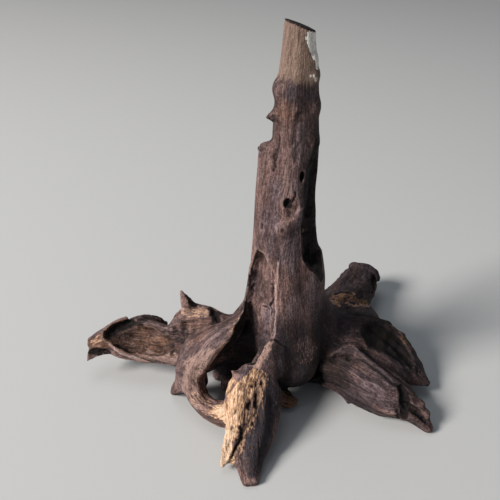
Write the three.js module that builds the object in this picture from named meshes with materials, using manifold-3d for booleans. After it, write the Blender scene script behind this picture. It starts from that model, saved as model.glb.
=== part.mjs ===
import * as THREE from "three";
import { mergeVertices } from "three/addons/utils/BufferGeometryUtils.js";
import Module from "manifold-3d";

// Driftwood stump: a hollowed, weathered trunk that stands on its broken roots.
// Millimetres, +Z up. The roots spread over the table at z = 0, and the viewer stands on the -Y side.

const wasm = await Module();
wasm.setup();

// Driving dimensions.
const trunkHeight = 382; // from the table to the highest point of the sawn top
const sawCutTilt = 20; // degrees that the sawn top falls to the right
const sawCutLean = 5; // degrees that it falls to the back
const forkGap = 0.3; // clearance where two pieces part at a fork
const middle = [-29, 17]; // where the middle of the whole footprint lies, seen from the trunk's foot

const across = new THREE.Vector3(1, 0, 0); // section width of upright limbs
const back = new THREE.Vector3(0, 1, 0); // section width of limbs that lie left to right
const rad = THREE.MathUtils.degToRad;

// How far a limb's section departs from an ellipse: slow waves round it, twisting down its length.
function gnarl(angle, share, depth, twist) {
  const w1 = Math.sin(3 * angle + twist + 4 * share);
  const w2 = Math.sin(5 * angle - 2 * twist - 5 * share);
  const w3 = Math.sin(8 * angle + 3 * twist + 3 * share);
  return 1 + depth * (0.5 * w1 + 0.35 * w2 + 0.3 * w3);
}

// A solid limb through stations [x, y, z, half width, half depth, turn in degrees].
function limb(stations, { width = across, sides = 16, rings = 1, rough = 0.1, twist = 0, grow = 0 } = {}) {
  const line = new THREE.CatmullRomCurve3(stations.map((s) => new THREE.Vector3(s[0], s[1], s[2])));
  const size = new THREE.CatmullRomCurve3(stations.map((s) => new THREE.Vector3(s[3], s[4], s[5] ?? 0)));
  const count = (stations.length - 1) * rings;
  const points = [];
  const ringAt = (i) => 1 + i * sides;
  for (let i = 0; i <= count; i++) {
    const share = i / count;
    const centre = line.getPoint(share);
    const along = line.getTangent(share);
    const { x: halfWidth, y: halfDepth, z: turn } = size.getPoint(share);
    const u = width.clone().addScaledVector(along, -width.dot(along)).normalize().applyAxisAngle(along, rad(turn));
    const v = along.clone().cross(u);
    for (let j = 0; j < sides; j++) {
      const angle = (j / sides) * 2 * Math.PI;
      const wave = gnarl(angle, share, rough, twist);
      const a = (halfWidth * wave + grow) * Math.cos(angle);
      const b = (halfDepth * wave + grow) * Math.sin(angle);
      points.push(centre.clone().addScaledVector(u, a).addScaledVector(v, b));
    }
  }
  const blunt = 0.3;
  const tip = (share, way) => {
    const { x, y } = size.getPoint(share);
    return line.getPoint(share).addScaledVector(line.getTangent(share), way * (blunt * Math.min(x, y) + grow));
  };
  points.unshift(tip(0, -1));
  points.push(tip(1, 1));
  const faces = [];
  for (let j = 0; j < sides; j++) {
    const k = (j + 1) % sides;
    faces.push(0, ringAt(0) + k, ringAt(0) + j);
    faces.push(points.length - 1, ringAt(count) + j, ringAt(count) + k);
    for (let i = 0; i < count; i++) {
      faces.push(ringAt(i) + j, ringAt(i) + k, ringAt(i + 1) + k);
      faces.push(ringAt(i) + j, ringAt(i + 1) + k, ringAt(i + 1) + j);
    }
  }
  const vertProperties = new Float32Array(points.flatMap((p) => p.toArray()));
  return new wasm.Manifold(new wasm.Mesh({ numProp: 3, vertProperties, triVerts: new Uint32Array(faces) }));
}

// A three.js geometry as a solid.
function solid(geometry) {
  geometry.deleteAttribute("normal");
  geometry.deleteAttribute("uv");
  const merged = mergeVertices(geometry, 1e-3);
  const vertProperties = merged.attributes.position.array;
  return new wasm.Manifold(new wasm.Mesh({ numProp: 3, vertProperties, triVerts: new Uint32Array(merged.index.array) }));
}

// A hollow, knot hole or boss: a ball squeezed to three half sizes and turned about Z, then X.
function ball([x, y, z], [rx, ry, rz], turnZ = 0, turnX = 0) {
  const shape = new THREE.SphereGeometry(1, 12, 8);
  const turn = new THREE.Matrix4().makeRotationFromEuler(new THREE.Euler(rad(turnX), 0, rad(turnZ), "ZXY"));
  shape.scale(rx, ry, rz).applyMatrix4(turn).translate(x, y, z);
  return solid(shape);
}

// A block far larger than the driftwood, whose lower face passes through a point.
function halfSpace([x, y, z], tiltY, tiltX) {
  const span = 900;
  const shape = new THREE.BoxGeometry(span, span, span).translate(0, 0, span / 2);
  shape.applyMatrix4(new THREE.Matrix4().makeRotationFromEuler(new THREE.Euler(rad(tiltX), rad(tiltY), 0)));
  return solid(shape.translate(x, y, z));
}

const join = (first, ...rest) => rest.reduce((whole, piece) => whole.add(piece), first);
const cut = (first, ...rest) => rest.reduce((whole, piece) => whole.subtract(piece), first);
const table = halfSpace([0, 0, 0], 180, 0);

// The trunk: a broad lower stem that steps in at a shelf on the left, where older wood broke away.
const stemLine = [
  [6, 0, 12, 20, 18],
  [5, 0, 28, 31, 29],
  [3, 0, 50, 39, 36],
  [1, 1, 75, 41, 38],
  [-1, 2, 106, 38, 36],
  [-0.5, 2, 137, 37, 32],
  [-2.5, 2, 172, 33, 29],
  [-5, 2, 205, 28.5, 26],
  [-6, 1, 236, 26, 22],
  [-5.5, 0, 258, 25, 17],
  [-6, -1, 270, 24, 15],
  [-6, -1, 279, 22, 12],
];
const upperLine = [
  [-1, 1, 220, 20, 21],
  [1, 1, 250, 20.5, 20.5],
  [2, 1, 272, 20, 20],
  [1.5, 1, 292, 19.5, 18],
  [1, 0, 312, 18, 17],
  [0.5, 0, 326, 17.5, 16],
  [1, 0, 340, 15.5, 15],
  [0.8, 0, 355, 13.5, 13],
  [0.6, 0, 398, 10, 10],
];
const rightShoulder = [
  [12, 4, 150, 9, 9],
  [22, 4, 118, 15, 15],
  [32, 6, 90, 19, 20],
  [44, 9, 66, 22, 24],
  [52, 11, 56, 22, 22],
];
const backShoulder = [
  [2, 12, 140, 12, 10],
  [8, 20, 108, 18, 15],
  [18, 32, 80, 22, 19],
  [32, 44, 58, 22, 22],
];
const trunkBlank = (grow) =>
  join(
    limb(stemLine, { sides: 24, rings: 2, rough: 0.06, grow }),
    limb(upperLine, { sides: 18, rings: 1, rough: 0.07, grow }),
    limb(rightShoulder, { sides: 14, rings: 1, rough: 0.06, grow }),
    limb(backShoulder, { sides: 14, rings: 1, rough: 0.06, grow }),
  );

const sideChannel = limb(
  [
    [21, -22, 306, 3, 3],
    [21, -21, 290, 9, 10],
    [23, -19, 264, 15, 16],
    [24, -18, 236, 17, 17],
    [27, -20, 205, 19, 18],
    [31, -20, 178, 19, 18],
    [33, -19, 156, 15, 14],
    [32, -17, 138, 8, 8],
  ],
  { sides: 14, rings: 2, rough: 0.12 },
);
const peeledFace = limb(
  [
    [-21, -23, 189, 3, 3, 30],
    [-23, -22, 181, 9, 6, 34],
    [-25, -23, 165, 15, 8, 38],
    [-26.5, -24, 142, 18, 9, 42],
    [-28, -26.5, 114, 19, 9, 44],
    [-29, -29, 90, 12, 7, 42],
  ],
  { sides: 14 },
);
const gap = limb(
  [
    [-37, -22, 136, 1, 5],
    [-38, -24, 122, 3, 9],
    [-40, -26, 108, 6, 12],
    [-45, -28, 94, 8, 14],
    [-51, -31, 80, 9, 14],
    [-60, -35, 66, 12, 14],
    [-67, -39, 48, 14, 13],
    [-69, -42, 22, 14, 12],
    [-69, -42, -16, 13, 12],
  ],
  { sides: 14, rings: 1, rough: 0.08 },
);
const leftSpur = limb([[-8, -3, 305, 9, 6], [-16, -5, 307, 7, 4], [-22, -5, 306, 2, 2]], { width: back, sides: 8, rings: 1 });
const shelfTip = limb([[-18, -4, 268, 9, 7], [-26, -5, 276, 5, 3], [-30, -6, 279, 1, 1]], { width: back, sides: 8, rings: 1 });
const buttress = limb(
  [[-8, -22, 104, 7, 7], [-14, -27, 90, 11, 10], [-21, -33, 76, 13, 11], [-28, -36, 62, 15, 12], [-32, -37, 50, 14, 11]],
  { sides: 14, rings: 2 },
);
const keel = limb([[-16, 6, 46, 20, 24], [-42, 6, 38, 17, 27], [-64, 5, 28, 13, 19], [-84, 7, 28, 9, 12]], {
  width: back,
  sides: 14,
  rings: 2,
});
const heel = limb([[-50, 2, 28, 12, 11], [-65, 3, 12, 11, 10], [-71, 4, -6, 10, 9]], { sides: 10 });
const heelStub = limb([[-54, -4, 22, 8, 8], [-62, -12, 8, 7, 7], [-64, -16, -5, 6, 6]], { sides: 8 });
const brokenStub = limb([[2, -14, 26, 8, 8], [3, -28, 12, 8, 6], [3, -38, 3, 7, 3]], { sides: 10, rings: 2 });
const sawCut = halfSpace([-11, -5, trunkHeight], sawCutTilt, -sawCutLean);
const trunk = cut(
  join(trunkBlank(0), leftSpur, shelfTip, buttress, keel, heel, heelStub, brokenStub),
  sideChannel,
  peeledFace,
  gap,
  sawCut,
  ball([-2, -26, 234], [5, 8, 7]),
  ball([6, -24, 261], [2, 7, 5]),
  ball([-8, -28, 211], [3, 4, 3]),
  table,
);

// The left root: a tilted plate that ends in an open trough, with a spike and a thin wing up to the trunk.
const plateLine = [
  [-26, 4, 64, 22, 18, -60],
  [-58, 4, 56, 24, 14, -58],
  [-86, 3, 55, 35, 11, -56],
  [-106, 3, 53, 32, 10, -54],
  [-118, 6, 47, 25, 11, -48],
  [-130, 10, 43, 21, 12, -40],
  [-152, 18, 41, 24, 12, -26],
  [-174, 19, 42, 22, 12, -24],
  [-194, 18, 42, 16, 10, -28],
  [-213, 14, 37, 9, 8, -30],
];
const wingLine = [
  [-33, -4, 150, 3, 7],
  [-36, -4, 132, 4.5, 10],
  [-40, -5, 116, 6, 13],
  [-48, -6, 101, 9, 17],
  [-54, -9, 88, 13, 20],
  [-65, -15, 77, 14, 23],
  [-81, -20, 65, 13, 25],
  [-92, -19, 54, 12, 25],
];
const leftSpike = limb([[-106, 22, 70, 9, 6], [-108, 24, 88, 7, 4], [-110, 24, 104, 1.5, 1.5]], { sides: 8, rings: 2 });
const backKnob = limb([[-166, 36, 44, 9, 7], [-152, 44, 44, 10, 7], [-138, 42, 40, 7, 6]], { width: back, sides: 10, rings: 2 });
const leftRootBlank = (grow) =>
  limb(plateLine, { width: back, sides: 18, rings: 1, rough: 0.1, twist: 2, grow }).add(
    limb(wingLine, { sides: 12, rings: 1, rough: 0.08, grow }),
  );
const trough = limb(
  [[-130, 8, 60, 4, 4], [-146, 12, 58, 11, 10], [-166, 16, 57, 14, 13], [-186, 16, 53, 10, 9], [-198, 15, 50, 3, 3]],
  { width: back, sides: 12, rings: 2 },
);
const leftRoot = cut(
  join(leftRootBlank(0), leftSpike, backKnob),
  gap,
  trough,
  ball([-104, 0, 76], [5, 8, 16], 0, 35),
  ball([-84, 0, 80], [4, 8, 16], 0, 35),
  ball([-70, 12, 82], [6, 9, 6], 20, 35),
  trunkBlank(forkGap),
  keel.add(heel),
  table,
);

// The front root: a claw with a dark toe and a pale, rotten one.
const clawLine = [
  [-26, -34, 50, 20, 15],
  [-30, -48, 46, 24, 17],
  [-34, -62, 38, 27, 18],
  [-35, -78, 27, 26, 18],
  [-35, -93, 17, 22, 15],
  [-37, -110, 10, 15, 12],
  [-37, -124, 6, 11, 9],
  [-36, -135, 3.5, 7.5, 5.5],
];
const paleLine = [
  [-44, -56, 48, 13, 10],
  [-48, -74, 42, 13, 11],
  [-52, -90, 33, 10, 9],
  [-56, -104, 22, 7, 7],
  [-59, -113, 15, 5, 5],
  [-62, -120, 9, 2, 2],
];
const frontCorner = limb([[-44, -50, 52, 7, 6], [-54, -53, 62, 2, 2]], { width: back, sides: 8, rings: 1 });
const frontRootBlank = (grow) =>
  limb(clawLine, { sides: 18, rings: 2, rough: 0.08, twist: 1, grow }).add(
    limb(paleLine, { sides: 12, rings: 2, rough: 0.12, twist: 3, grow }),
  );
const frontRoot = cut(join(frontRootBlank(0), frontCorner), gap, trunkBlank(forkGap), buttress, brokenStub, table);

// The bridge: a root that leaves the left root, touches the table with its spur and meets the front root.
const bridgeLine = [
  [-88, -16, 62, 13, 16],
  [-96, -28, 46, 15, 14],
  [-95, -38, 32, 15, 13],
  [-87, -50, 21, 14, 11],
  [-75, -60, 17, 13, 11],
  [-61, -69, 20, 13, 12],
  [-47, -76, 27, 12, 12],
];
const bridgeSpur = limb([[-102, -34, 36, 10, 11], [-112, -30, 20, 7, 8], [-120, -24, 4, 4, 4], [-122, -22, -3, 3, 3]], {
  sides: 8,
  rings: 2,
});
const bridge = cut(
  join(limb(bridgeLine, { width: back, sides: 14, rings: 2, rough: 0.1, twist: 4 }), bridgeSpur),
  gap,
  trunkBlank(forkGap),
  leftRootBlank(forkGap),
  frontRootBlank(forkGap),
  table,
);

// The right roots.
const rightFrontLine = [
  [14, -6, 22, 22, 21],
  [40, -14, 28, 25, 23],
  [64, -21, 32, 26, 22, 20],
  [84, -33, 30, 26, 21, 30],
  [102, -44, 25, 24, 19, 35],
  [120, -53, 20, 19, 14, 30],
  [134, -62, 12, 12, 10, 10],
  [145, -74, 3, 6, 5],
];
const rightMidLine = [
  [20, 10, 60, 22, 24],
  [52, 10, 56, 28, 25],
  [84, 14, 50, 32, 23],
  [108, 6, 42, 32, 18, 15],
  [126, -5, 31, 29, 13, 20],
  [141, -13, 20, 18, 9, 20],
  [156, -22, 13, 4, 3],
];
const backLine = [
  [16, 14, 56, 24, 22],
  [46, 46, 44, 28, 24],
  [70, 82, 35, 29, 22],
  [87, 112, 31, 27, 20],
  [102, 138, 30, 25, 17],
  [111, 156, 31, 21, 16],
  [114, 165, 32, 16, 12],
];
const rightFrontBlank = (grow) => limb(rightFrontLine, { width: back, sides: 16, rings: 2, rough: 0.1, twist: 1, grow });
const rightMidBlank = (grow) => limb(rightMidLine, { width: back, sides: 16, rings: 2, rough: 0.08, twist: 2, grow });
const backBlank = (grow) => limb(backLine, { sides: 16, rings: 2, rough: 0.1, twist: 5, grow });
const darkScoop = limb([[86, -6, 74, 5, 5], [104, -4, 64, 14, 11], [124, -8, 51, 12, 10], [142, -16, 34, 5, 5]], {
  width: back,
  sides: 12,
  rings: 2,
});
const rightMidRoot = cut(rightMidBlank(0), darkScoop, trunkBlank(forkGap), table);
const rightFrontRoot = cut(rightFrontBlank(0), trunkBlank(forkGap), brokenStub, rightMidBlank(forkGap), table);
const backLobe = limb([[76, 30, 42, 20, 18], [95, 60, 32, 20, 16], [105, 86, 25, 11, 10]], { sides: 12, rings: 2 });
const backFoot = limb([[98, 132, 26, 13, 12], [100, 134, 10, 10, 9], [101, 135, -5, 9, 8]], { sides: 12 });
const backRoot = cut(join(backBlank(0), backLobe, backFoot), trunkBlank(forkGap), rightMidBlank(forkGap), rightFrontBlank(forkGap), table);

// The largest body of a solid: slivers that the cuts leave at a fork are dropped.
function largest(shape) {
  return shape.decompose().sort((a, b) => b.volume() - a.volume())[0];
}

function mesh(name, shape, colour) {
  const body = largest(shape).getMesh();
  const geometry = new THREE.BufferGeometry();
  geometry.setAttribute("position", new THREE.BufferAttribute(body.vertProperties, 3));
  geometry.setIndex(new THREE.BufferAttribute(body.triVerts, 1));
  const material = new THREE.MeshStandardMaterial({ color: colour, roughness: 0.85, metalness: 0, flatShading: true });
  const made = new THREE.Mesh(geometry, material);
  made.name = name;
  return made;
}

const driftwood = new THREE.Group();
driftwood.add(
  mesh("trunk", trunk, "#5a4038"),
  mesh("left_root", leftRoot, "#6b4a3a"),
  mesh("bridge_root", bridge, "#6f4f40"),
  mesh("front_root", frontRoot, "#a98558"),
  mesh("right_front_root", rightFrontRoot, "#5f463c"),
  mesh("right_middle_root", rightMidRoot, "#40302a"),
  mesh("back_root", backRoot, "#453632"),
);
driftwood.position.set(-middle[0], -middle[1], 0);

export default driftwood;
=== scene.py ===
import math
import bpy
import numpy as np
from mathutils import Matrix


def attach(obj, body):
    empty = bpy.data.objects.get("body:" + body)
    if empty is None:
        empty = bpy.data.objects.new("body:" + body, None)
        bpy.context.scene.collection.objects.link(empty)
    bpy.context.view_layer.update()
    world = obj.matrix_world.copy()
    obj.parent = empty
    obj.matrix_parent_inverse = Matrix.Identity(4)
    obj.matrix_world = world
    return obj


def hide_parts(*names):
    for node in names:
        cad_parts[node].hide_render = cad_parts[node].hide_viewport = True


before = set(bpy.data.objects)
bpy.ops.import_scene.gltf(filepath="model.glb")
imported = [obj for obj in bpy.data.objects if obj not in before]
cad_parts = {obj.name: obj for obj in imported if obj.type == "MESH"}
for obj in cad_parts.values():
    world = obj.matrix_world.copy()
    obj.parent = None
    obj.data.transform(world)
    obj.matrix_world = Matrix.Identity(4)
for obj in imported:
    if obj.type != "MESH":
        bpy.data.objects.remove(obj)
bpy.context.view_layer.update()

import openvdb
from mathutils import Vector

# Driftwood stump: a hollowed, weathered trunk on its broken roots.
# It is carved from one field of distances, in millimetres with the trunk's foot at 0, 0, 0,
# then parted at its forks into the trunk and one piece for each root.

MIDDLE = np.array([-29.0, 17.0, 0.0])  # the middle of the footprint, seen from the trunk's foot
CELL = 1.1  # how fine the carving is
MM = 0.001  # a millimetre in metres
REACH = 12.0  # how far from the wood its distances are worked out
TRUNK_HEIGHT = 382.0
SAW_TILT = math.radians(20)  # how far the sawn top falls to the right
SAW_LEAN = math.radians(5)  # and to the back
FLOAT = np.float32
FAR = 1e3  # further than anything here lies from anything else, in mm

ACROSS = np.array([1.0, 0.0, 0.0])
BACK = np.array([0.0, 1.0, 0.0])


# Noise

LATTICE = 64  # lumps along each side of the block of noise, which repeats after them
SEED = 11
LUMPS = (np.random.default_rng(SEED).random(LATTICE**3, dtype=FLOAT) * 2 - 1).astype(FLOAT)
OCTAVE_SHIFT = 17.3  # keeps one layer of noise from lying on the next


def noise(points, size, shift=0.0):
    """Smooth lumps from -1 to 1; size is a lump's width in mm, one value or one for each axis."""
    q = points / np.asarray(size, FLOAT) + FLOAT(shift)
    cell = np.floor(q)
    f = (q - cell).astype(FLOAT)
    f = f * f * (3 - 2 * f)
    cell = cell.astype(np.int64) % LATTICE
    after = (cell + 1) % LATTICE
    total = 0
    for corner in range(8):
        i, j, k = ((cell, after)[corner >> axis & 1][..., axis] for axis in range(3))
        share = 1
        for axis in range(3):
            share = share * (f[..., axis] if corner >> axis & 1 else 1 - f[..., axis])
        total = total + share * LUMPS[(i * LATTICE + j) * LATTICE + k]
    return total


def layers(points, size, count=3, shift=0.0):
    """Noise of several sizes, each half as wide and half as strong as the one before."""
    total, weight = 0, 0
    for n in range(count):
        total = total + noise(points, np.asarray(size) / 2**n, shift + OCTAVE_SHIFT * n) / 2**n
        weight += 1 / 2**n
    return total / weight


def step(low, high, value):
    """0 below low, 1 above high and smooth between."""
    t = np.clip((value - low) / (high - low), 0, 1)
    return t * t * (3 - 2 * t)


# Shapes

def smooth_line(points, per_gap=5):
    """Places along a smooth curve through the points, the same few to each gap."""
    points = np.asarray(points, float)
    before = 2 * points[0] - points[1]
    after = 2 * points[-1] - points[-2]
    chain = np.vstack([before, points, after])
    places = []
    for p0, p1, p2, p3 in zip(chain, chain[1:], chain[2:], chain[3:]):
        gaps = (p1 - p0, p2 - p1, p3 - p2)
        d0, d1, d2 = (max(float(np.sum(gap**2)) ** 0.25, 1e-4) for gap in gaps)
        t1 = ((p1 - p0) / d0 - (p2 - p0) / (d0 + d1) + (p2 - p1) / d1) * d1
        t2 = ((p2 - p1) / d1 - (p3 - p1) / (d1 + d2) + (p3 - p2) / d2) * d1
        square = -3 * p1 + 3 * p2 - 2 * t1 - t2
        cube = 2 * p1 - 2 * p2 + t1 + t2
        places += [p1 + t1 * t + square * t**2 + cube * t**3 for t in np.arange(per_gap) / per_gap]
    places.append(points[-1])
    return np.array(places)


def turned(vectors, axes, angle):
    """Vectors turned about the axes that they stand square to."""
    return vectors * np.cos(angle)[:, None] + np.cross(axes, vectors) * np.sin(angle)[:, None]


THINNEST = 0.4  # the least half width of a limb, in mm


class Limb:
    """A gnarled limb through stations of x, y, z, half width, half depth and turn in degrees."""

    def __init__(self, stations, width=ACROSS, rough=0.1, twist=0.0, corner=2):
        self.corner = corner
        stations = [tuple(s) + (0,) * (6 - len(s)) for s in stations]
        self.centre = smooth_line([s[:3] for s in stations])
        size = smooth_line([s[3:] for s in stations])
        self.half = np.maximum(size[:, :2], THINNEST)
        along = np.gradient(self.centre, axis=0)
        self.along = along / np.linalg.norm(along, axis=1)[:, None]
        square = width - self.along * (self.along @ width)[:, None]
        square /= np.linalg.norm(square, axis=1)[:, None]
        self.u = turned(square, self.along, np.radians(size[:, 2]))
        self.v = np.cross(self.along, self.u)
        steps = np.linalg.norm(np.diff(self.centre, axis=0), axis=1)
        self.length = np.concatenate([[0], np.cumsum(steps)])
        self.rough, self.twist = rough, twist
        widest = self.half.max(axis=1)[:, None]
        self.low = (self.centre - widest).min(axis=0)
        self.high = (self.centre + widest).max(axis=0)

    def nearest(self, x, y, z):
        """The nearest place on the centre line to each point, counted in its spans."""
        shape = np.broadcast_shapes(x.shape, y.shape, z.shape)
        best = np.full(shape, np.inf, FLOAT)
        place = np.zeros(shape, FLOAT)
        for i, (p, q) in enumerate(zip(self.centre.astype(FLOAT), self.centre[1:].astype(FLOAT))):
            d = q - p
            long2 = max(float(d @ d), 1e-6)
            dx, dy, dz = x - p[0], y - p[1], z - p[2]
            dot = dx * d[0] + dy * d[1] + dz * d[2]
            t = np.clip(dot / FLOAT(long2), 0, 1)
            gap2 = dx * dx + dy * dy + dz * dz
            gap2 = gap2 - t * (2 * dot - t * FLOAT(long2))
            nearer = gap2 < best
            np.copyto(best, gap2, where=nearer)
            np.copyto(place, t + FLOAT(i), where=nearer)
        return place

    def section(self, points, place):
        """Each point in the limb's own terms: across, deep and along, and the section's half sizes."""
        last = len(self.centre) - 2
        i = np.clip(place.astype(np.int32), 0, last)
        t = (place - i).astype(FLOAT)[..., None]

        def between(table):
            table = table.astype(FLOAT)
            return table[i] * (1 - t) + table[i + 1] * t

        off = points - between(self.centre)
        a = (off * between(self.u)).sum(-1)
        b = (off * between(self.v)).sum(-1)
        w = (off * between(self.along)).sum(-1)
        half = between(self.half)
        return a, b, w, half, between(self.length[:, None])[..., 0]

    def distance(self, points, place=None):
        if place is None:
            place = self.nearest(points[..., 0], points[..., 1], points[..., 2])
        a, b, w, half, _ = self.section(points, place)
        wide, deep = half[..., 0], half[..., 1]
        blunt = 0.3 * np.minimum(wide, deep) + 0.5
        past = (place <= 0) | (place >= len(self.centre) - 1)
        w = np.where(past, w, 0)
        p = self.corner
        parts = [(np.abs(off) / size, size) for off, size in ((a, wide), (b, deep), (w, blunt))]
        norm = sum(share**p for share, _ in parts) ** (1 / p) + 1e-4
        steep = np.sqrt(sum((share ** (p - 1) / size) ** 2 for share, size in parts)) * norm ** (1 - p) + 1e-5
        angle = np.arctan2(b / deep, a / wide)
        share = place / (len(self.centre) - 1)
        waves = 0.5 * np.sin(3 * angle + self.twist + 4 * share)
        waves += 0.35 * np.sin(5 * angle - 2 * self.twist - 5 * share)
        waves += 0.3 * np.sin(8 * angle + 3 * self.twist + 3 * share)
        return (norm - 1 - self.rough * waves) / steep


class Ball:
    """A ball squeezed to three half sizes and turned about Z, then X."""

    def __init__(self, centre, half, turn_z=0, turn_x=0):
        self.centre, self.half = np.array(centre, float), np.array(half, float)
        cz, sz = math.cos(math.radians(turn_z)), math.sin(math.radians(turn_z))
        cx, sx = math.cos(math.radians(turn_x)), math.sin(math.radians(turn_x))
        about_z = np.array([[cz, -sz, 0], [sz, cz, 0], [0, 0, 1]])
        about_x = np.array([[1, 0, 0], [0, cx, -sx], [0, sx, cx]])
        self.turn = (about_z @ about_x).astype(FLOAT)
        self.low = self.centre - self.half.max()
        self.high = self.centre + self.half.max()

    def distance(self, points):
        off = (points - self.centre.astype(FLOAT)) @ self.turn / self.half.astype(FLOAT)
        norm = np.sqrt((off**2).sum(-1)) + 1e-4
        steep = np.sqrt(((off / self.half.astype(FLOAT)) ** 2).sum(-1)) + 1e-5
        return (norm - 1) * norm / steep


# The block of cells that the driftwood is carved in

LOW = np.array([-224.0, -146.0, -5.0])
HIGH = np.array([168.0, 180.0, 392.0])
COUNTS = np.ceil((HIGH - LOW) / CELL).astype(int) + 1
AXES = [(LOW[k] + CELL * np.arange(COUNTS[k])).astype(FLOAT) for k in range(3)]
field = np.full(COUNTS, REACH, FLOAT)


def window(low, high, spare):
    """The slices of the block that hold a box, and their places along each axis."""
    first = np.clip(np.floor((low - spare - LOW) / CELL).astype(int), 0, COUNTS - 1)
    last = np.clip(np.ceil((high + spare - LOW) / CELL).astype(int) + 1, 1, COUNTS)
    cut = tuple(slice(a, b) for a, b in zip(first, last))
    return cut, [AXES[k][cut[k]] for k in range(3)]


def cell_points(axes):
    return np.stack(np.meshgrid(*axes, indexing="ij"), axis=-1)


def distances(shape, spare):
    """A shape's distances in its own part of the block."""
    cut, axes = window(shape.low, shape.high, spare)
    points = cell_points(axes)
    if isinstance(shape, Limb):
        x, y, z = axes
        place = shape.nearest(x[:, None, None], y[None, :, None], z[None, None, :])
        return cut, points, shape.distance(points, place)
    return cut, points, shape.distance(points)


def grow(shape, blend=5.0):
    """Joins a shape to the wood with a soft fillet."""
    cut, _, gap = distances(shape, REACH)
    gap = np.minimum(gap, REACH)
    old = field[cut]
    share = np.clip(0.5 + 0.5 * (old - gap) / blend, 0, 1)
    field[cut] = old * (1 - share) + gap * share - blend * share * (1 - share)


def carve(shape, ragged=0.0, grain=6.0, blend=1.0):
    """Takes a shape out of the wood; ragged is how uneven its edge is, in mm."""
    cut, points, gap = distances(shape, 4.0 + ragged)
    if ragged:
        gap = gap + ragged * layers(points, grain, 2)
    inside = np.minimum(-gap, REACH)
    old = field[cut]
    share = np.clip(0.5 - 0.5 * (old - inside) / blend, 0, 1)
    field[cut] = old * (1 - share) + inside * share + blend * share * (1 - share)


# The limbs

# The trunk, and what grows on it and under it.
stem = Limb([
    (6, 0, 12, 20, 18), (5, 0, 28, 31, 29), (3, 0, 50, 39, 36), (1, 1, 75, 41, 38), (-1, 2, 106, 38, 36),
    (-0.5, 2, 137, 37, 32), (-2.5, 2, 172, 33, 29), (-5, 2, 205, 28.5, 26), (-6, 1, 236, 26, 22),
    (-5.5, 0, 258, 25, 17), (-6, -1, 270, 24, 15), (-6, -1, 279, 22, 12),
], rough=0.06)
upper = Limb([
    (-1, 1, 220, 20, 21), (1, 1, 250, 20.5, 20.5), (2, 1, 272, 20, 20), (1.5, 1, 292, 19.5, 18),
    (1, 0, 312, 18, 17), (0.5, 0, 326, 17.5, 16), (1, 0, 340, 15.5, 15), (0.8, 0, 355, 13.5, 13),
    (0.6, 0, 398, 10, 10),
], rough=0.07)
right_shoulder = Limb([
    (12, 4, 150, 9, 9), (22, 4, 118, 15, 15), (32, 6, 90, 19, 20), (44, 9, 66, 22, 24),
    (52, 11, 56, 22, 22),
], rough=0.06)
back_shoulder = Limb([
    (2, 12, 140, 12, 10), (8, 20, 108, 18, 15), (18, 32, 80, 22, 19), (32, 44, 58, 22, 22),
], rough=0.06)
left_spur = Limb([
    (-8, -3, 306, 9, 8), (-15, -6, 307, 7, 7), (-19.5, -7, 307, 4, 4.2), (-23.5, -7, 306, 1, 1),
], BACK)
shelf_tip = Limb([(-18, -4, 268, 9, 7), (-26, -5, 276, 5, 3), (-30, -6, 279, 1, 1)], BACK)
buttress = Limb([
    (-8, -22, 104, 7, 7), (-12, -28, 90, 11, 10), (-14, -34, 76, 14, 11), (-17, -37, 62, 18, 12),
    (-19, -38, 50, 18, 11),
])
keel = Limb([(-16, 6, 46, 20, 24), (-42, 6, 38, 17, 27), (-64, 5, 28, 13, 19), (-84, 7, 28, 9, 12)], BACK)
heel = Limb([(-50, 2, 28, 12, 11), (-65, 3, 12, 11, 10), (-71, 4, -6, 10, 9)])
heel_stub = Limb([(-54, -4, 22, 8, 8), (-62, -12, 8, 7, 7), (-64, -16, -5, 6, 6)])
broken_stub = Limb([
    (-10, -33, 16, 9, 9), (-4, -38, 12, 9, 7), (4, -41, 10, 9, 5), (10, -41, 9, 5, 3), (14, -40, 9, 1, 1),
], BACK, rough=0.3, corner=3)

# The left root: a tilted plate, the thin wing up to the trunk, a spike and a knob at its back.
plate = Limb([
    (-26, 4, 64, 22, 18, -60), (-58, 4, 56, 24, 14, -58), (-86, 3, 55, 35, 11, -56),
    (-106, 3, 53, 32, 10, -54), (-118, 6, 47, 25, 11, -48), (-130, 10, 43, 21, 12, -40),
    (-152, 18, 41, 24, 12, -26), (-174, 19, 42, 22, 12, -24), (-194, 18, 42, 16, 10, -28),
    (-213, 14, 37, 9, 8, -30),
], BACK, twist=2)
wing = Limb([
    (-33, -4, 150, 3, 7), (-35, -4, 132, 3.5, 10), (-38, -5, 117, 4, 13), (-42, -6, 104, 4, 17),
    (-49, -9, 91, 7.5, 20), (-63, -15, 78, 12.5, 23), (-81, -20, 65, 13, 25), (-92, -19, 54, 12, 25),
], rough=0.08)
web = Limb([(-84, -6, 73, 5, 5), (-94, -14, 65, 7, 6), (-103, -24, 55, 8, 7), (-106, -34, 46, 7, 7)])
left_spike = Limb([
    (-100, 20, 78, 13, 6), (-103, 21, 88, 8, 5), (-107, 22, 97, 4, 3.5), (-110, 23, 105, 1.2, 1.2),
])
back_knob = Limb([
    (-178, 35, 46, 6, 5), (-164, 40, 46, 9, 8), (-150, 43, 45, 10, 8), (-136, 42, 39, 8, 6),
], BACK, rough=0.3)
tip_point = Limb([
    (-200, 9, 38, 9, 7), (-209, 5, 35, 7, 5), (-214, 2, 30, 4, 3), (-216, 0, 27, 1, 1),
], BACK, rough=0.2)

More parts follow.
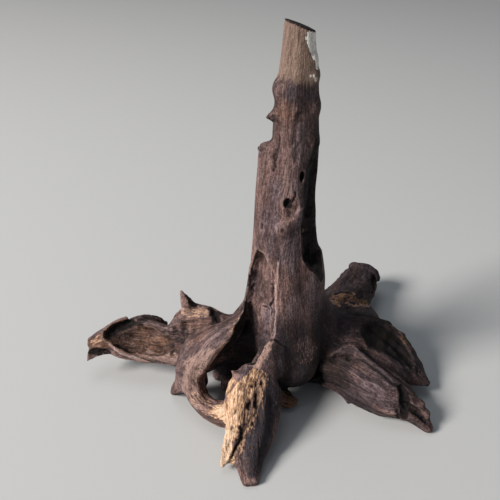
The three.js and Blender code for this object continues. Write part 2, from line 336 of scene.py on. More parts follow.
# The front root: a dark toe and a pale one.
claw = Limb([
    (-24, -36, 49, 14, 13), (-30, -48, 46, 24, 17), (-34, -62, 38, 27, 18), (-35, -78, 27, 26, 18),
    (-35, -93, 17, 22, 15), (-37, -110, 10, 15, 12), (-37, -124, 6, 11, 9), (-36, -135, 3.5, 7.5, 5.5),
], rough=0.08, twist=1)
pale_toe = Limb([
    (-44, -56, 48, 13, 10), (-48, -74, 42, 13, 11), (-50.5, -90, 33, 8.5, 9), (-55, -104, 22, 7, 7.5),
    (-59, -113, 15, 5.5, 5.5), (-63, -120, 8, 2.5, 2.5),
], rough=0.12, twist=3)
front_corner = Limb([(-42, -50, 50, 8, 7), (-50, -52, 58, 4, 3), (-55, -53, 64.5, 1, 1)], BACK)

# The bridge root and its spur.
bridge = Limb([
    (-88, -16, 62, 13, 16), (-96, -28, 46, 15, 14), (-95, -38, 32, 15, 13), (-87, -50, 21, 14, 11),
    (-75, -60, 17, 13, 11), (-61, -69, 20, 13, 12), (-47, -76, 27, 12, 12),
], BACK, twist=4)
bridge_spur = Limb([
    (-102, -34, 36, 10, 11), (-112, -30, 20, 7, 8), (-120, -24, 4, 4, 4), (-122, -22, -3, 3, 3),
])

# The roots to the right and to the back.
right_front = Limb([
    (14, 2, 18, 17, 17), (38, -4, 25, 20, 21), (62, -17, 31, 24, 22, 20), (84, -33, 30, 26, 21, 30),
    (102, -44, 25, 24, 19, 35), (120, -53, 20, 19, 14, 30), (134, -62, 12, 12, 10, 10), (145, -74, 3, 6, 5),
], BACK, twist=1)
right_middle = Limb([
    (20, 10, 60, 22, 24), (52, 10, 56, 28, 25), (84, 14, 50, 32, 23), (108, 6, 42, 32, 18, 15),
    (126, -5, 31, 29, 13, 20), (141, -13, 20, 18, 9, 20), (156, -22, 13, 4, 3),
], BACK, rough=0.08, twist=2)
back_line = Limb([
    (16, 14, 56, 24, 22), (46, 46, 44, 28, 24), (70, 82, 35, 29, 22), (87, 112, 31, 27, 20),
    (102, 138, 30, 25, 17), (111, 156, 31, 21, 16), (114, 165, 32, 16, 12),
], twist=5)
back_lobe = Limb([(76, 30, 42, 20, 18), (95, 60, 32, 20, 16), (105, 86, 25, 11, 10)])
back_hook = Limb([
    (112, 156, 34, 10, 9), (124, 154, 36, 8, 7), (131, 152, 31, 4, 4), (134, 150, 26, 1.5, 1.5),
], BACK, rough=0.2)
back_foot = Limb([(98, 132, 26, 13, 12), (100, 134, 10, 10, 9), (101, 135, -5, 9, 8)])

PIECES = {
    "trunk": [
        stem, upper, right_shoulder, back_shoulder, left_spur, shelf_tip,
        buttress, keel, heel, heel_stub, broken_stub,
    ],
    "left_root": [plate, wing, web, left_spike, back_knob, tip_point],
    "bridge_root": [bridge, bridge_spur],
    "front_root": [claw, pale_toe, front_corner],
    "right_front_root": [right_front],
    "right_middle_root": [right_middle],
    "back_root": [back_line, back_lobe, back_foot, back_hook],
}

# The large hollows.
side_channel = Limb([
    (24, -21, 306, 3, 3), (25, -20, 290, 8, 9), (27, -19, 264, 15, 15), (28, -18, 236, 17, 17),
    (29, -20, 205, 19, 18), (31, -20, 180, 19, 18), (36, -18, 168, 12, 12), (40, -13, 152, 4.5, 4.5),
], rough=0.12, corner=3)
under_bulb = Limb([
    (4, -37, 2, 5, 5), (18, -33, 8, 7, 6), (31, -27, 18, 8, 6), (40, -20, 31, 7, 6), (46, -15, 43, 4, 4),
    (50, -12, 52, 2, 2),
])
peeled_face = Limb([
    (-27, -15, 178, 5, 5, 40), (-27, -16, 170, 10, 8, 46), (-27, -17, 159, 15, 9, 48),
    (-28, -18.5, 140, 17, 9, 48), (-29, -22, 114, 19, 9, 47), (-31, -26, 92, 16, 8.5, 46),
    (-34, -30, 74, 14, 8, 45), (-38, -34, 58, 10, 7, 45),
], corner=4)
gap = Limb([
    (-37, -22, 136, 1, 5), (-38, -24, 122, 3, 9), (-40, -26, 108, 6, 12), (-45, -28, 94, 8, 14),
    (-51, -31, 80, 9, 14), (-60, -35, 66, 12, 14), (-67, -39, 48, 14, 13), (-69, -42, 22, 14, 12),
    (-69, -42, -16, 13, 12),
], rough=0.08)
trough = Limb([
    (-124, 0, 52, 7, 7), (-138, 3, 49, 15, 14), (-152, 8, 49, 18, 15), (-168, 11, 51, 18, 15),
    (-184, 14, 51, 13, 10), (-196, 16, 50, 5, 5),
], BACK, rough=0.12)
dark_scoop = Limb([
    (80, -4, 80, 6, 6), (98, -4, 69, 18, 13), (120, -9, 55, 18, 12), (139, -17, 38, 9, 7),
], BACK, rough=0.15)

# How wide a fillet a piece's limbs are joined with, in mm.
USUAL_BLEND = 6.0
BLENDS = {"trunk": 5.0, "right_front_root": 2.0, "bridge_root": 9.0}
for name, limbs in PIECES.items():
    for limb in limbs:
        grow(limb, BLENDS.get(name, USUAL_BLEND))

# Swellings and lips that the limbs don't give.
for swelling in (
    Ball((13, -5, 340), (5, 6, 6)),
    Ball((12, -5, 352), (3.5, 5, 4)),
    Ball((-12, -4, 329), (7, 9, 8)),
    Ball((15, -4, 314), (5.5, 7, 8)),
    Ball((15, -4, 284), (6, 6, 8)),
    Ball((8, -10, 44), (31, 30, 36)),
    Ball((3, -19, 226), (5, 4, 14), 0, -6),
    Ball((-8, -23, 210), (6, 5, 8)),
    Ball((112, 22, 60), (7, 5, 4)),
    Ball((99, 20, 67), (6, 6, 4)),
    Ball((127, 14, 51), (7, 4, 4)),
    Ball((137, -60, 25), (4, 4, 3.5)),
    Ball((142, -66, 18), (3.5, 4, 3)),
    Ball((101, 156, 46), (8, 6, 4)),
    Ball((114, 158, 43), (8, 5, 4)),
):
    grow(swelling, 5.0)
upper_lip = Limb([
    (-204, 17, 45, 3.5, 3.5), (-196, 25, 50, 3.5, 3.5), (-186, 32, 54, 3.5, 3.5), (-176, 36, 55, 4, 4),
], BACK)
foot_knob = Limb([(64, -34, 27, 9, 8), (66, -41, 17, 5, 4), (66, -46, 10, 1.5, 1.5)])
crest = Limb([
    (40, -14, 48, 4, 4), (57, -17, 57, 5, 4), (70, -18, 59, 5, 4), (86, -31, 53, 5, 4),
    (100, -43, 47, 4, 4), (113, -51, 40, 3, 3),
], BACK)
grow(crest, 6.0)
grow(upper_lip, 4.0)
grow(foot_knob, 4.0)

# The hollows, with the rims that stand beside them.
carve(side_channel, 3.6, 7.0, 0.7)
channel_lip = Limb([
    (17, -24, 178, 2, 2), (20, -23, 172, 3, 3), (24, -21, 166, 3, 3), (30, -17, 159, 3, 3),
    (34, -12, 148, 2, 2),
])
carve(channel_lip, 3.5, 4.0, 0.7)
right_flat = Limb([
    (31.5, 0, 174, 4, 8), (30.5, 0, 184, 4.5, 10), (28.5, 0, 196, 4, 9), (27, 0, 212, 3, 7),
    (26, 0, 226, 1, 4),
])
carve(right_flat, 0.6, 5.0, 1.5)
flange = Limb([
    (29, -3, 138, 4, 5), (29.5, -4, 152, 2.5, 4), (29.5, -3, 165, 1.8, 3), (29.5, -3, 174, 1.0, 1.6),
])
grow(flange, 2.0)
carve(peeled_face, 1.2, 5.0, 0.8)
carve(gap, 1.5, 6.0)
valley = Limb([
    (-20, -32, 98, 3, 3), (-25, -34, 91, 6, 6), (-34, -37, 83, 8, 8), (-41.5, -39, 74, 9, 9),
    (-47, -39, 65, 9, 9), (-50, -38, 56, 7, 7),
])
carve(valley, 1.0, 6.0, 1.5)
carve(trough, 1.5, 6.0)
trough_mouth = Limb([(-136, 2, 52, 10, 8), (-124, 0, 56, 10, 6), (-111, -3, 61, 6, 3.5)], BACK)
carve(trough_mouth, 0.8, 6.0, 6.0)
carve(under_bulb, 0.8, 5.0, 2.0)
carve(dark_scoop, 2.0, 9.0, 4.0)
lip_hollow = Limb([
    (-196, 18, 49, 3, 4), (-186, 24, 52, 6, 6), (-174, 29, 54, 6, 6), (-164, 30, 54, 3, 3),
], BACK)
side_hollow = Limb([(-190, 8, 50, 2, 3), (-181, 8, 48, 4, 6), (-174, 12, 46, 4, 5)], BACK)
carve(lip_hollow, 1.0, 5.0)
carve(side_hollow, 0.8, 4.0)
for flute in (
    Limb([(-105, 9, 82, 2.5, 2.5), (-107, 4, 70, 4, 3), (-108, -4, 58, 3, 2.5)]),
    Limb([(-86, 8, 86, 3, 3), (-87, 0, 80, 4, 4), (-87, -8, 75, 3, 3)]),
    Limb([(-97, 16, 88, 2, 2), (-97, 8, 80, 3, 2), (-98, 0, 72, 2, 2)]),
    Limb([(-117, 6, 66, 2, 2), (-119, 0, 58, 3, 2.5), (-121, -6, 50, 2, 2)]),
):
    carve(flute, 0.8, 5.0, 6.0)
tip_hollow = Limb([
    (-214, 0, 37, 2.5, 3), (-207, -1, 38, 6, 6.5), (-197, -2, 37.5, 7, 6), (-188, -3, 35, 4, 4),
], BACK, rough=0.2)
front_recess = Limb([
    (116, -50, 46, 3, 3), (119, -56, 39, 5.5, 5), (120, -63, 32, 6, 5), (119, -69, 24, 5, 4),
    (118, -74, 15, 3, 3),
])
strand_hollow = Limb([(124, -64, 30, 2, 2), (131, -68, 24, 4, 3.5), (138, -73, 16, 3, 2.5)], BACK)
carve(tip_hollow, 1.5, 4.0)
carve(front_recess, 2.5, 4.0)
carve(strand_hollow, 1.0, 4.0)
wedge = Limb([(-46, -98, 26, 4, 4), (-48, -106, 20, 5, 5), (-51, -112, 14, 5, 5), (-53, -116, 8, 4, 4)])
grow(wedge, 3.0)
near_rim = Limb([
    (-190, 7, 45, 2, 2), (-184, 3, 42, 2, 2), (-178, 0, 40, 2.2, 2.2), (-168, -3, 37, 2.2, 2.2),
    (-156, -6, 34, 2, 2), (-144, -9, 33, 0.8, 0.8),
])
grow(near_rim, 2.5)
back_side = Limb([(125, 142, 38, 4, 5), (123, 128, 35, 6, 8), (121, 112, 30, 6, 7), (122, 100, 26, 3, 4)])
carve(back_side, 2.5, 7.0, 2.0)

# Knot holes, notches and dents.
for hollow in (
    Ball((0, -29.5, 231), (9, 10, 15)),
    Ball((-3, -26, 234), (3.6, 10, 6), 20),
    Ball((7, -19, 258), (1.8, 7, 5)),
    Ball((-8, -29.5, 210), (2.6, 3.2, 3.0)),
    Ball((-72, 12, 82), (4, 9, 4), 20, 35),
    Ball((-81, 6, 88), (8, 9, 7)),
    Ball((-209, 12, 53), (4, 5, 3)),
    Ball((-97, 19, 98), (5.5, 8, 9)),
    Ball((-74, 13, 84), (6, 8, 5)),
    Ball((-32, -7, 272), (4.5, 9, 3.4)),
    Ball((82, 140, 54), (7, 8, 5)),
    Ball((107, 160, 50), (3, 6, 3)),
):
    carve(hollow, 0.6, 3.0)

# The sawn top and the table that the feet rest on.
upright = math.cos(SAW_TILT)
saw_normal = np.array([math.sin(SAW_TILT), math.sin(SAW_LEAN) * upright, math.cos(SAW_LEAN) * upright])
saw_level = float(saw_normal @ (-11, -5, TRUNK_HEIGHT))
above = (
    AXES[0][:, None, None] * FLOAT(saw_normal[0])
    + AXES[1][None, :, None] * FLOAT(saw_normal[1])
    + AXES[2][None, None, :] * FLOAT(saw_normal[2])
    - FLOAT(saw_level)
)
np.maximum(field, above, out=field)
np.maximum(field, -AXES[2][None, None, :], out=field)


# The surface

def surface():
    volume = openvdb.FloatGrid(REACH)
    volume.copyFromArray(np.clip(field, -REACH, REACH))
    points, _, quads = volume.convertToPolygons(isovalue=0.0, adaptivity=0.0)
    return LOW + points.astype(float) * CELL, quads.astype(np.int64)


def totals(owners, values, count):
    """Sums of the values that share an owner."""
    return np.stack([np.bincount(owners, values[:, k], count) for k in range(values.shape[1])], axis=1)


def eased(values, quads, rounds, share=0.5):
    """Values moved towards the mean of their neighbours."""
    start = quads.ravel()
    end = np.roll(quads, -1, axis=1).ravel()
    owners = np.concatenate([start, end])
    others = np.concatenate([end, start])
    near = np.maximum(np.bincount(owners, minlength=len(values)), 1)[:, None]
    for _ in range(rounds):
        values = values * (1 - share) + share * totals(owners, values[others], len(values)) / near
    return values


def normals_of(points, quads):
    p = points[quads]
    face = np.cross(p[:, 2] - p[:, 0], p[:, 3] - p[:, 1])
    total = totals(quads.ravel(), np.repeat(face, 4, axis=0), len(points))
    return total / np.maximum(np.linalg.norm(total, axis=1), 1e-9)[:, None]


def sample(points):
    """The field at any points."""
    q = np.clip((points - LOW) / CELL, 0, np.array(COUNTS) - 1.001)
    i = q.astype(int)
    f = q - i
    total = 0
    for corner in range(8):
        bits = [corner >> axis & 1 for axis in range(3)]
        share = 1
        for axis in range(3):
            share = share * (f[:, axis] if bits[axis] else 1 - f[:, axis])
        total = total + share * field[i[:, 0] + bits[0], i[:, 1] + bits[1], i[:, 2] + bits[2]]
    return total


points, quads = surface()
points = eased(points, quads, 1)
normals = normals_of(points, quads)


NEARBY = 20  # how far around a limb its distances are worked out, in mm


def reach_of(limbs, places):
    """The distance from each place to the nearest of some limbs."""
    nearest = np.full(len(places), FAR, FLOAT)
    for limb in limbs:
        close = np.all((places > limb.low - NEARBY) & (places < limb.high + NEARBY), axis=1)
        if close.any():
            nearest[close] = np.minimum(nearest[close], limb.distance(places[close].astype(FLOAT)))
    return nearest


names = list(PIECES)
owner = np.array([reach_of(limbs, points) for limbs in PIECES.values()]).argmin(axis=0)


def without_islands(owner):
    """Gives each piece's loose islands to the piece around them, and leaves out pockets inside the wood."""
    start, end = quads.ravel(), np.roll(quads, -1, axis=1).ravel()
    same = owner[start] == owner[end]
    label = np.arange(len(owner))
    before = None
    while before is None or (label != before).any():
        before = label.copy()
        lowest = np.minimum(label[start[same]], label[end[same]])
        np.minimum.at(label, start[same], lowest)
        np.minimum.at(label, end[same], lowest)
        label = label[label]
    sizes = np.bincount(label, minlength=len(label))
    main = [label[owner == number][sizes[label[owner == number]].argmax()] for number in range(len(names))]
    tidy = owner.copy()
    for island in np.setdiff1d(np.unique(label), main):
        around = owner[end[(label[start] == island) & (label[end] != island)]]
        tidy[label == island] = np.bincount(around).argmax() if len(around) else -1
    return tidy


owner = without_islands(owner)


# The way that the grain runs. Three sets of lines, so that two that meet are never in one set.

def guide(*places, width=ACROSS):
    """A line for the grain to follow; its own width plays no part."""
    return Limb([place + (9, 9) for place in places], width)


trunk_line = guide((4, 0, -20), (4, 0, 60), (-2, 1, 140), (-3, 1, 220), (0, 0, 300), (1, 0, 400))
wing_line = guide(
    (-33, -4, 160), (-40, -5, 116), (-54, -9, 88), (-81, -20, 65),
    (-96, -32, 42), (-87, -50, 21), (-61, -69, 20), (-40, -78, 28),
)
middle_line = guide(
    (12, 4, 160), (22, 4, 118), (34, 6, 88), (54, 10, 62),
    (84, 14, 50), (108, 6, 42), (126, -5, 31), (160, -24, 12),
    width=BACK,
)
rear_line = guide(
    (2, 12, 150), (8, 20, 108), (18, 32, 80), (34, 44, 56),
    (70, 82, 36), (87, 112, 31), (102, 138, 30), (116, 172, 32),
)
GRAIN = [  # which set, the line that its grain follows, and the limbs that have it
    (0, trunk_line, [stem, upper, left_spur, shelf_tip, buttress, broken_stub]),
    (1, plate, [plate, web, keel, heel, heel_stub, back_knob, left_spike]),
    (2, wing_line, [wing, bridge, bridge_spur]),
    (1, claw, [claw, pale_toe, front_corner]),
    (1, right_front, [right_front]),
    (2, middle_line, [right_shoulder, right_middle]),
    (1, rear_line, [back_shoulder, back_line, back_lobe, back_foot]),
]
# Each knot's place, and how far it bends the grain across and along.
KNOTS = [((-2, -19, 232), 7, 11), ((-8, -24, 209), 5, 7), ((6, -20, 260), 3, 8), ((-26, -16, 208), 4, 7)]


def around_knots(places):
    """Places drawn in towards each knot, so that the grain swings around it."""
    places = places.copy()
    for centre, wide, tall in KNOTS:
        off = places - np.array(centre, float)
        near = np.exp(-(off[:, 0] ** 2 + off[:, 1] ** 2) / (2 * wide**2) - off[:, 2] ** 2 / (2 * tall**2))
        places[:, :2] -= 0.75 * near[:, None] * off[:, :2]
    return places


grain = np.zeros((3, len(points), 3), FLOAT)
grain_share = np.zeros((3, len(points)), FLOAT)
bent = around_knots(points).astype(FLOAT)
for which, line, members in GRAIN:
    gap_to = reach_of(members, points)
    share = np.exp(-np.maximum(gap_to, -3) / 4).astype(FLOAT)
    mine = share > grain_share[which]
    here = bent[mine]
    a, b, w, _, run = line.section(here, line.nearest(here[:, 0], here[:, 1], here[:, 2]))
    grain[which, mine] = np.stack([a, b, run + w], axis=1)
    grain_share[which, mine] = share[mine]
grain_share /= grain_share.sum(axis=0)


def fibres(width, stretch, shift=0.0, count=2):
    """Noise drawn out along the grain."""
    size = np.array([width, width, width * stretch], FLOAT)
    return sum(grain_share[k] * layers(grain[k], size, count, shift) for k in range(3))


# Marks on the surface

class Marks:
    """Distances from the surface to a line through x, y, z, and how thick the line is there."""

    def __init__(self, stations, snap=False):
        line = smooth_line([tuple(s[:3]) for s in stations], 4)
        if snap:
            near = points[np.all((points > line.min(axis=0) - 8) & (points < line.max(axis=0) + 8), axis=1)]
            line = np.array([near[((near - p) ** 2).sum(axis=1).argmin()] for p in line])
        width = np.array([s[3] for s in stations], float)
        at = np.linspace(0, len(stations) - 1, len(line))
        self.width = np.interp(at, np.arange(len(stations)), width)
        self.line = line
        self.low, self.high = line.min(axis=0) - 3 * width.max(), line.max(axis=0) + 3 * width.max()

    def on(self, places):
        """Which places are close, their distance over the width there."""
        close = np.flatnonzero(np.all((places > self.low) & (places < self.high), axis=1))
        here = places[close]
        best = np.full(len(close), FAR)
        for p, q, wp, wq in zip(self.line, self.line[1:], self.width, self.width[1:]):
            d = q - p
            t = np.clip((here - p) @ d / max(d @ d, 1e-9), 0, 1)
            gap_to = np.linalg.norm(here - p - t[:, None] * d, axis=1) / (wp + (wq - wp) * t)
            best = np.minimum(best, gap_to)
        return close, best


def patch(stations, ragged=0.3, grain_size=5.0, soft=0.3, snap=False):
    """A mask along a line of places and radii, with an uneven edge."""
    mask = np.zeros(len(points))
    close, gap_to = Marks(stations, snap).on(points)
    if len(close):
        uneven = ragged * layers(points[close], grain_size, 3, 5.0)
        mask[close] = step(1 + soft, 1 - soft, gap_to + uneven)
    return mask


DRAWN = ("crack", "pale", "dark", "rot", "rust", "ochre", "bleach", "bluish_dark", "flecks", "edge", "golden")
masks = {name: np.zeros(len(points)) for name in DRAWN}


def patches(*places_and_edges):
    """The strongest of several patches at each point."""
    return np.max([patch(*one) for one in places_and_edges], axis=0)


def score(stations, depth, stain, mask="crack"):
    """Cuts a crack or, with a depth below nothing, raises a ridge along a line of places and half widths."""
    close, gap_to = Marks(stations, snap=True).on(points)
    uneven = 1 + 0.5 * layers(points[close], 3.0, 2, 9.0)
    profile = np.exp(-((gap_to * uneven) ** 2))
    lift[close] -= depth * profile
    masks[mask][close] = np.maximum(masks[mask][close], stain * profile)


def add(mask, amount, values):
    masks[mask] = np.maximum(masks[mask], amount * values)


# How far each point is inside a hollow, or on the trunk and away from the roots.
x, y, z = points.T
in_channel = step(2.5, 0.5, reach_of([side_channel], points))
in_channel = np.maximum(in_channel, step(4.0, 2.0, reach_of([channel_lip], points)))
in_peel = step(2.0, 0.0, reach_of([peeled_face], points))
in_gap = step(2.5, 0.0, reach_of([gap], points))
in_trough = step(2.0, 0.0, reach_of([trough, lip_hollow, side_hollow], points))
in_scoop = step(3.0, -1.0, reach_of([dark_scoop], points))
on_trunk = step(-3, 6, reach_of(sum((PIECES[n] for n in names[1:]), []), points))

# Where the pale rot and the dark toe lie.
rot = patches(
    ([
        (-46, -65, 54, 8), (-48, -73, 51, 11), (-53, -84, 44, 11), (-58, -96, 34, 10), (-61, -107, 25, 9),
        (-62, -118, 14, 9),
    ], 0.35, 7),
    ([(-33, -52, 62, 4), (-36, -60, 59, 7), (-42, -70, 54, 8)], 0.5, 5),
    ([(-68, -71, 28, 8), (-60, -80, 34, 10)], 0.6, 6),
    ([(-52, -56, 52, 6), (-58, -64, 42, 8)], 0.5, 5),
)
toe = patch([(-24, -58, 52, 10), (-22, -78, 42, 12), (-28, -100, 28, 13), (-34, -122, 14, 12)], 0.25, 6)
rot *= 1 - 0.9 * toe

# Low relief: long swells, flutes and fine fibres along the grain, strongest on the roots.
lift = np.zeros(len(points))
lively = 0.25 + 0.75 * (1 - on_trunk) + 0.6 * in_channel + 0.5 * in_peel
lift += 1.3 * (1 - 0.7 * on_trunk) * fibres(16, 4, 3.0)
lift += 1.0 * lively * fibres(6, 8, 11.0)
lift += 0.45 * lively * fibres(2.6, 12, 23.0, 1)
at_back = patch([(50, 60, 60, 26), (80, 100, 52, 32), (104, 140, 44, 34)], 0.4, 14)
lift += (1 - on_trunk) * (1 + at_back) * layers(points, 8, 3, 31.0)
on_knob = patch([(-162, 38, 50, 9), (-148, 43, 48, 11), (-134, 40, 44, 8)], 0.3, 6)
lift += 1.8 * on_knob * layers(points, 5, 3, 37.0)
splits = np.exp(-((fibres(11, 8, 41.0) / 0.035) ** 2)) * step(0.1, 0.5, layers(points, 30, 2, 51.0))
lift -= 1.3 * lively * splits
masks["crack"] = np.maximum(masks["crack"], 0.5 * splits * (0.4 + 0.6 * (1 - on_trunk)))

# The rotten wood is stringy and full of holes.
mottled = patches(
    ([(-26, -56, 59, 6), (-32, -70, 54, 9), (-38, -86, 43, 9), (-45, -102, 27, 6)], 0.5, 5),
    ([(52, 62, 62, 7), (66, 66, 63, 9), (78, 75, 59, 7), (92, 80, 49, 6)], 0.5, 6),
)
rotten = np.maximum(rot, mottled)
strings = fibres(2.4, 5, 61.0)
holes = step(0.3, 0.5, fibres(3.2, 2.6, 71.0, 2)) * (0.35 + 0.65 * mottled)
lift += rotten * (1.1 * strings - 2.2 * holes)
masks["rot"] = rot * (0.62 + 0.22 * step(-44, -54, x) + 0.25 * step(44, 28, z) * step(-44, -54, x))
masks["crack"] = np.maximum(masks["crack"], 0.9 * rotten * holes)

# Cracks, creases and ridges.
edge_line = [
    (-11, -26, 176), (-11, -27, 162), (-12, -28, 146), (-12, -30, 129), (-12, -32, 112), (-13, -37, 96),
    (-15, -39, 89),
]
score([place + (1.4,) for place in edge_line], -0.8, 0)
add("edge", 0.5, patch([place + (0.75,) for place in edge_line], 0.3, 3.0, 0.6, True))
SCORES = (  # places with half widths, how deep, how dark and, for a ridge, its mask
    ([
        (-16, -19, 146, 0.8), (-14, -20, 143, 1.2), (-16, -20, 138, 1.4), (-15, -22, 132, 1.2),
        (-14, -22, 127, 1.1),
    ], 2.0, 1.0),
    ([(-14, -22, 127, 1.1), (-17, -20, 120, 1.4), (-15, -24, 118, 1.1), (-16, -25, 112, 0.6)], 2.0, 1.0),
    ([(-25, -14, 115, 0.6), (-21, -17, 116, 0.8), (-18, -20, 116, 0.7)], 1.4, 0.9),
    ([(-26, -11, 123, 0.5), (-23, -15, 119, 0.7)], 1.0, 0.7),
    ([(-17, -38, 91, 0.6), (-13, -38, 91.5, 0.9), (-8, -38, 87, 0.8), (-1, -38, 82, 0.5)], 1.2, 0.9),
    ([
        (3, -17, 312, 3), (1, -17, 304, 4), (0, -17, 297, 3.5), (0, -18, 290, 3.5), (1, -18, 284, 3),
        (1, -19, 272, 2),
    ], 1.6, 0.3),
    ([(-13, -11, 291, 1), (-14, -12, 282, 1.6), (-15, -13, 274, 1.6), (-16, -13, 262, 0.8)], 1.5, 0.6),
    ([(2, -20, 244, 0.6), (1.5, -20, 239, 1), (0, -20, 234, 0.8)], 1.5, 0.9),
    ([(9, -12, 233, 1.4), (6, -20, 227, 1.6), (1, -23, 220, 1.5), (-4, -24, 215, 1.0)], -0.9, 0.1, "pale"),
    ([(-26, -16, 210, 1.2), (-26, -16, 206, 0.8)], 1.0, 0.6),
    ([(48, -19, 54, 1.5), (57, -17, 58, 1.8), (68, -15, 61, 2), (76, -26, 55, 1.5)], -1.2, 0.15, "pale"),
    ([(64, -25, 55, 2), (66, -26, 53, 1.6)], 2.0, 0.9),
    ([
        (74, -27, 55, 1.5), (86, -33, 53, 2), (99, -44, 48, 2), (108, -51, 43, 2), (117, -53, 40, 1.8),
    ], 1.5, 0.6),
    ([(22, -34, 16, 1.5), (36, -38, 24, 1.8), (54, -44, 30, 1.5)], 1.4, 0.6),
    ([(119, -64, 32, 1.5), (126, -67, 24, 2.5), (133, -69, 19, 2.5), (139, -72, 12, 1.5)], 2.5, 0.9),
    ([(111, -69, 24, 1.5), (112, -70, 18, 2.0), (113, -70, 12, 1.5)], 2.0, 0.9),
    ([(115, -2, 48, 1.5), (124, -9, 40, 1.8), (134, -20, 33, 1.6), (142, -24, 24, 1)], -1.0, 0.1, "pale"),
    ([
        (64, 76, 61, 1.2), (68, 80, 59, 2.0), (74, 84, 57, 2.2), (80, 85, 55, 1.8), (92, 84, 50, 1.0),
    ], 3.0, 1.0),
    ([(-135, 12, 55, 0.8), (-117, 3, 63, 1), (-98, -2, 68, 0.8)], 0.9, 0.6),
    ([(-120, -6, 48, 1.2), (-121, -7, 46, 1.2)], 1.5, 0.8),
    ([
        (-46, -98, 36, 1.3), (-45, -100, 32, 1.8), (-46, -103, 27, 1.6), (-49, -108, 23, 1.3),
        (-52, -112, 20, 1), (-55, -116, 15, 0.8),
    ], 2.6, 1.0),
    ([(-92, -57, 33, 1), (-88, -60, 31, 1.3), (-83, -63, 28, 1)], 1.2, 0.7),
    ([(-54, -98, 36, 1.7), (-54.5, -99.5, 34, 1.7)], 2.0, 1.0),
    ([(-50, -86, 45, 1.1), (-51, -88, 43, 1.2)], 1.5, 0.9),
    ([(-58, -106, 27, 1.0), (-58.5, -107.5, 25, 1.1)], 1.2, 0.8),
    ([
        (-27, -14, 176, 1.4), (-29, -12, 168, 2), (-32, -10, 156, 1.8), (-34, -9, 143, 1.5),
        (-36, -9, 132, 1.2),
    ], 1.5, 0.85),
)
for line, *how in SCORES:
    score(line, *how)
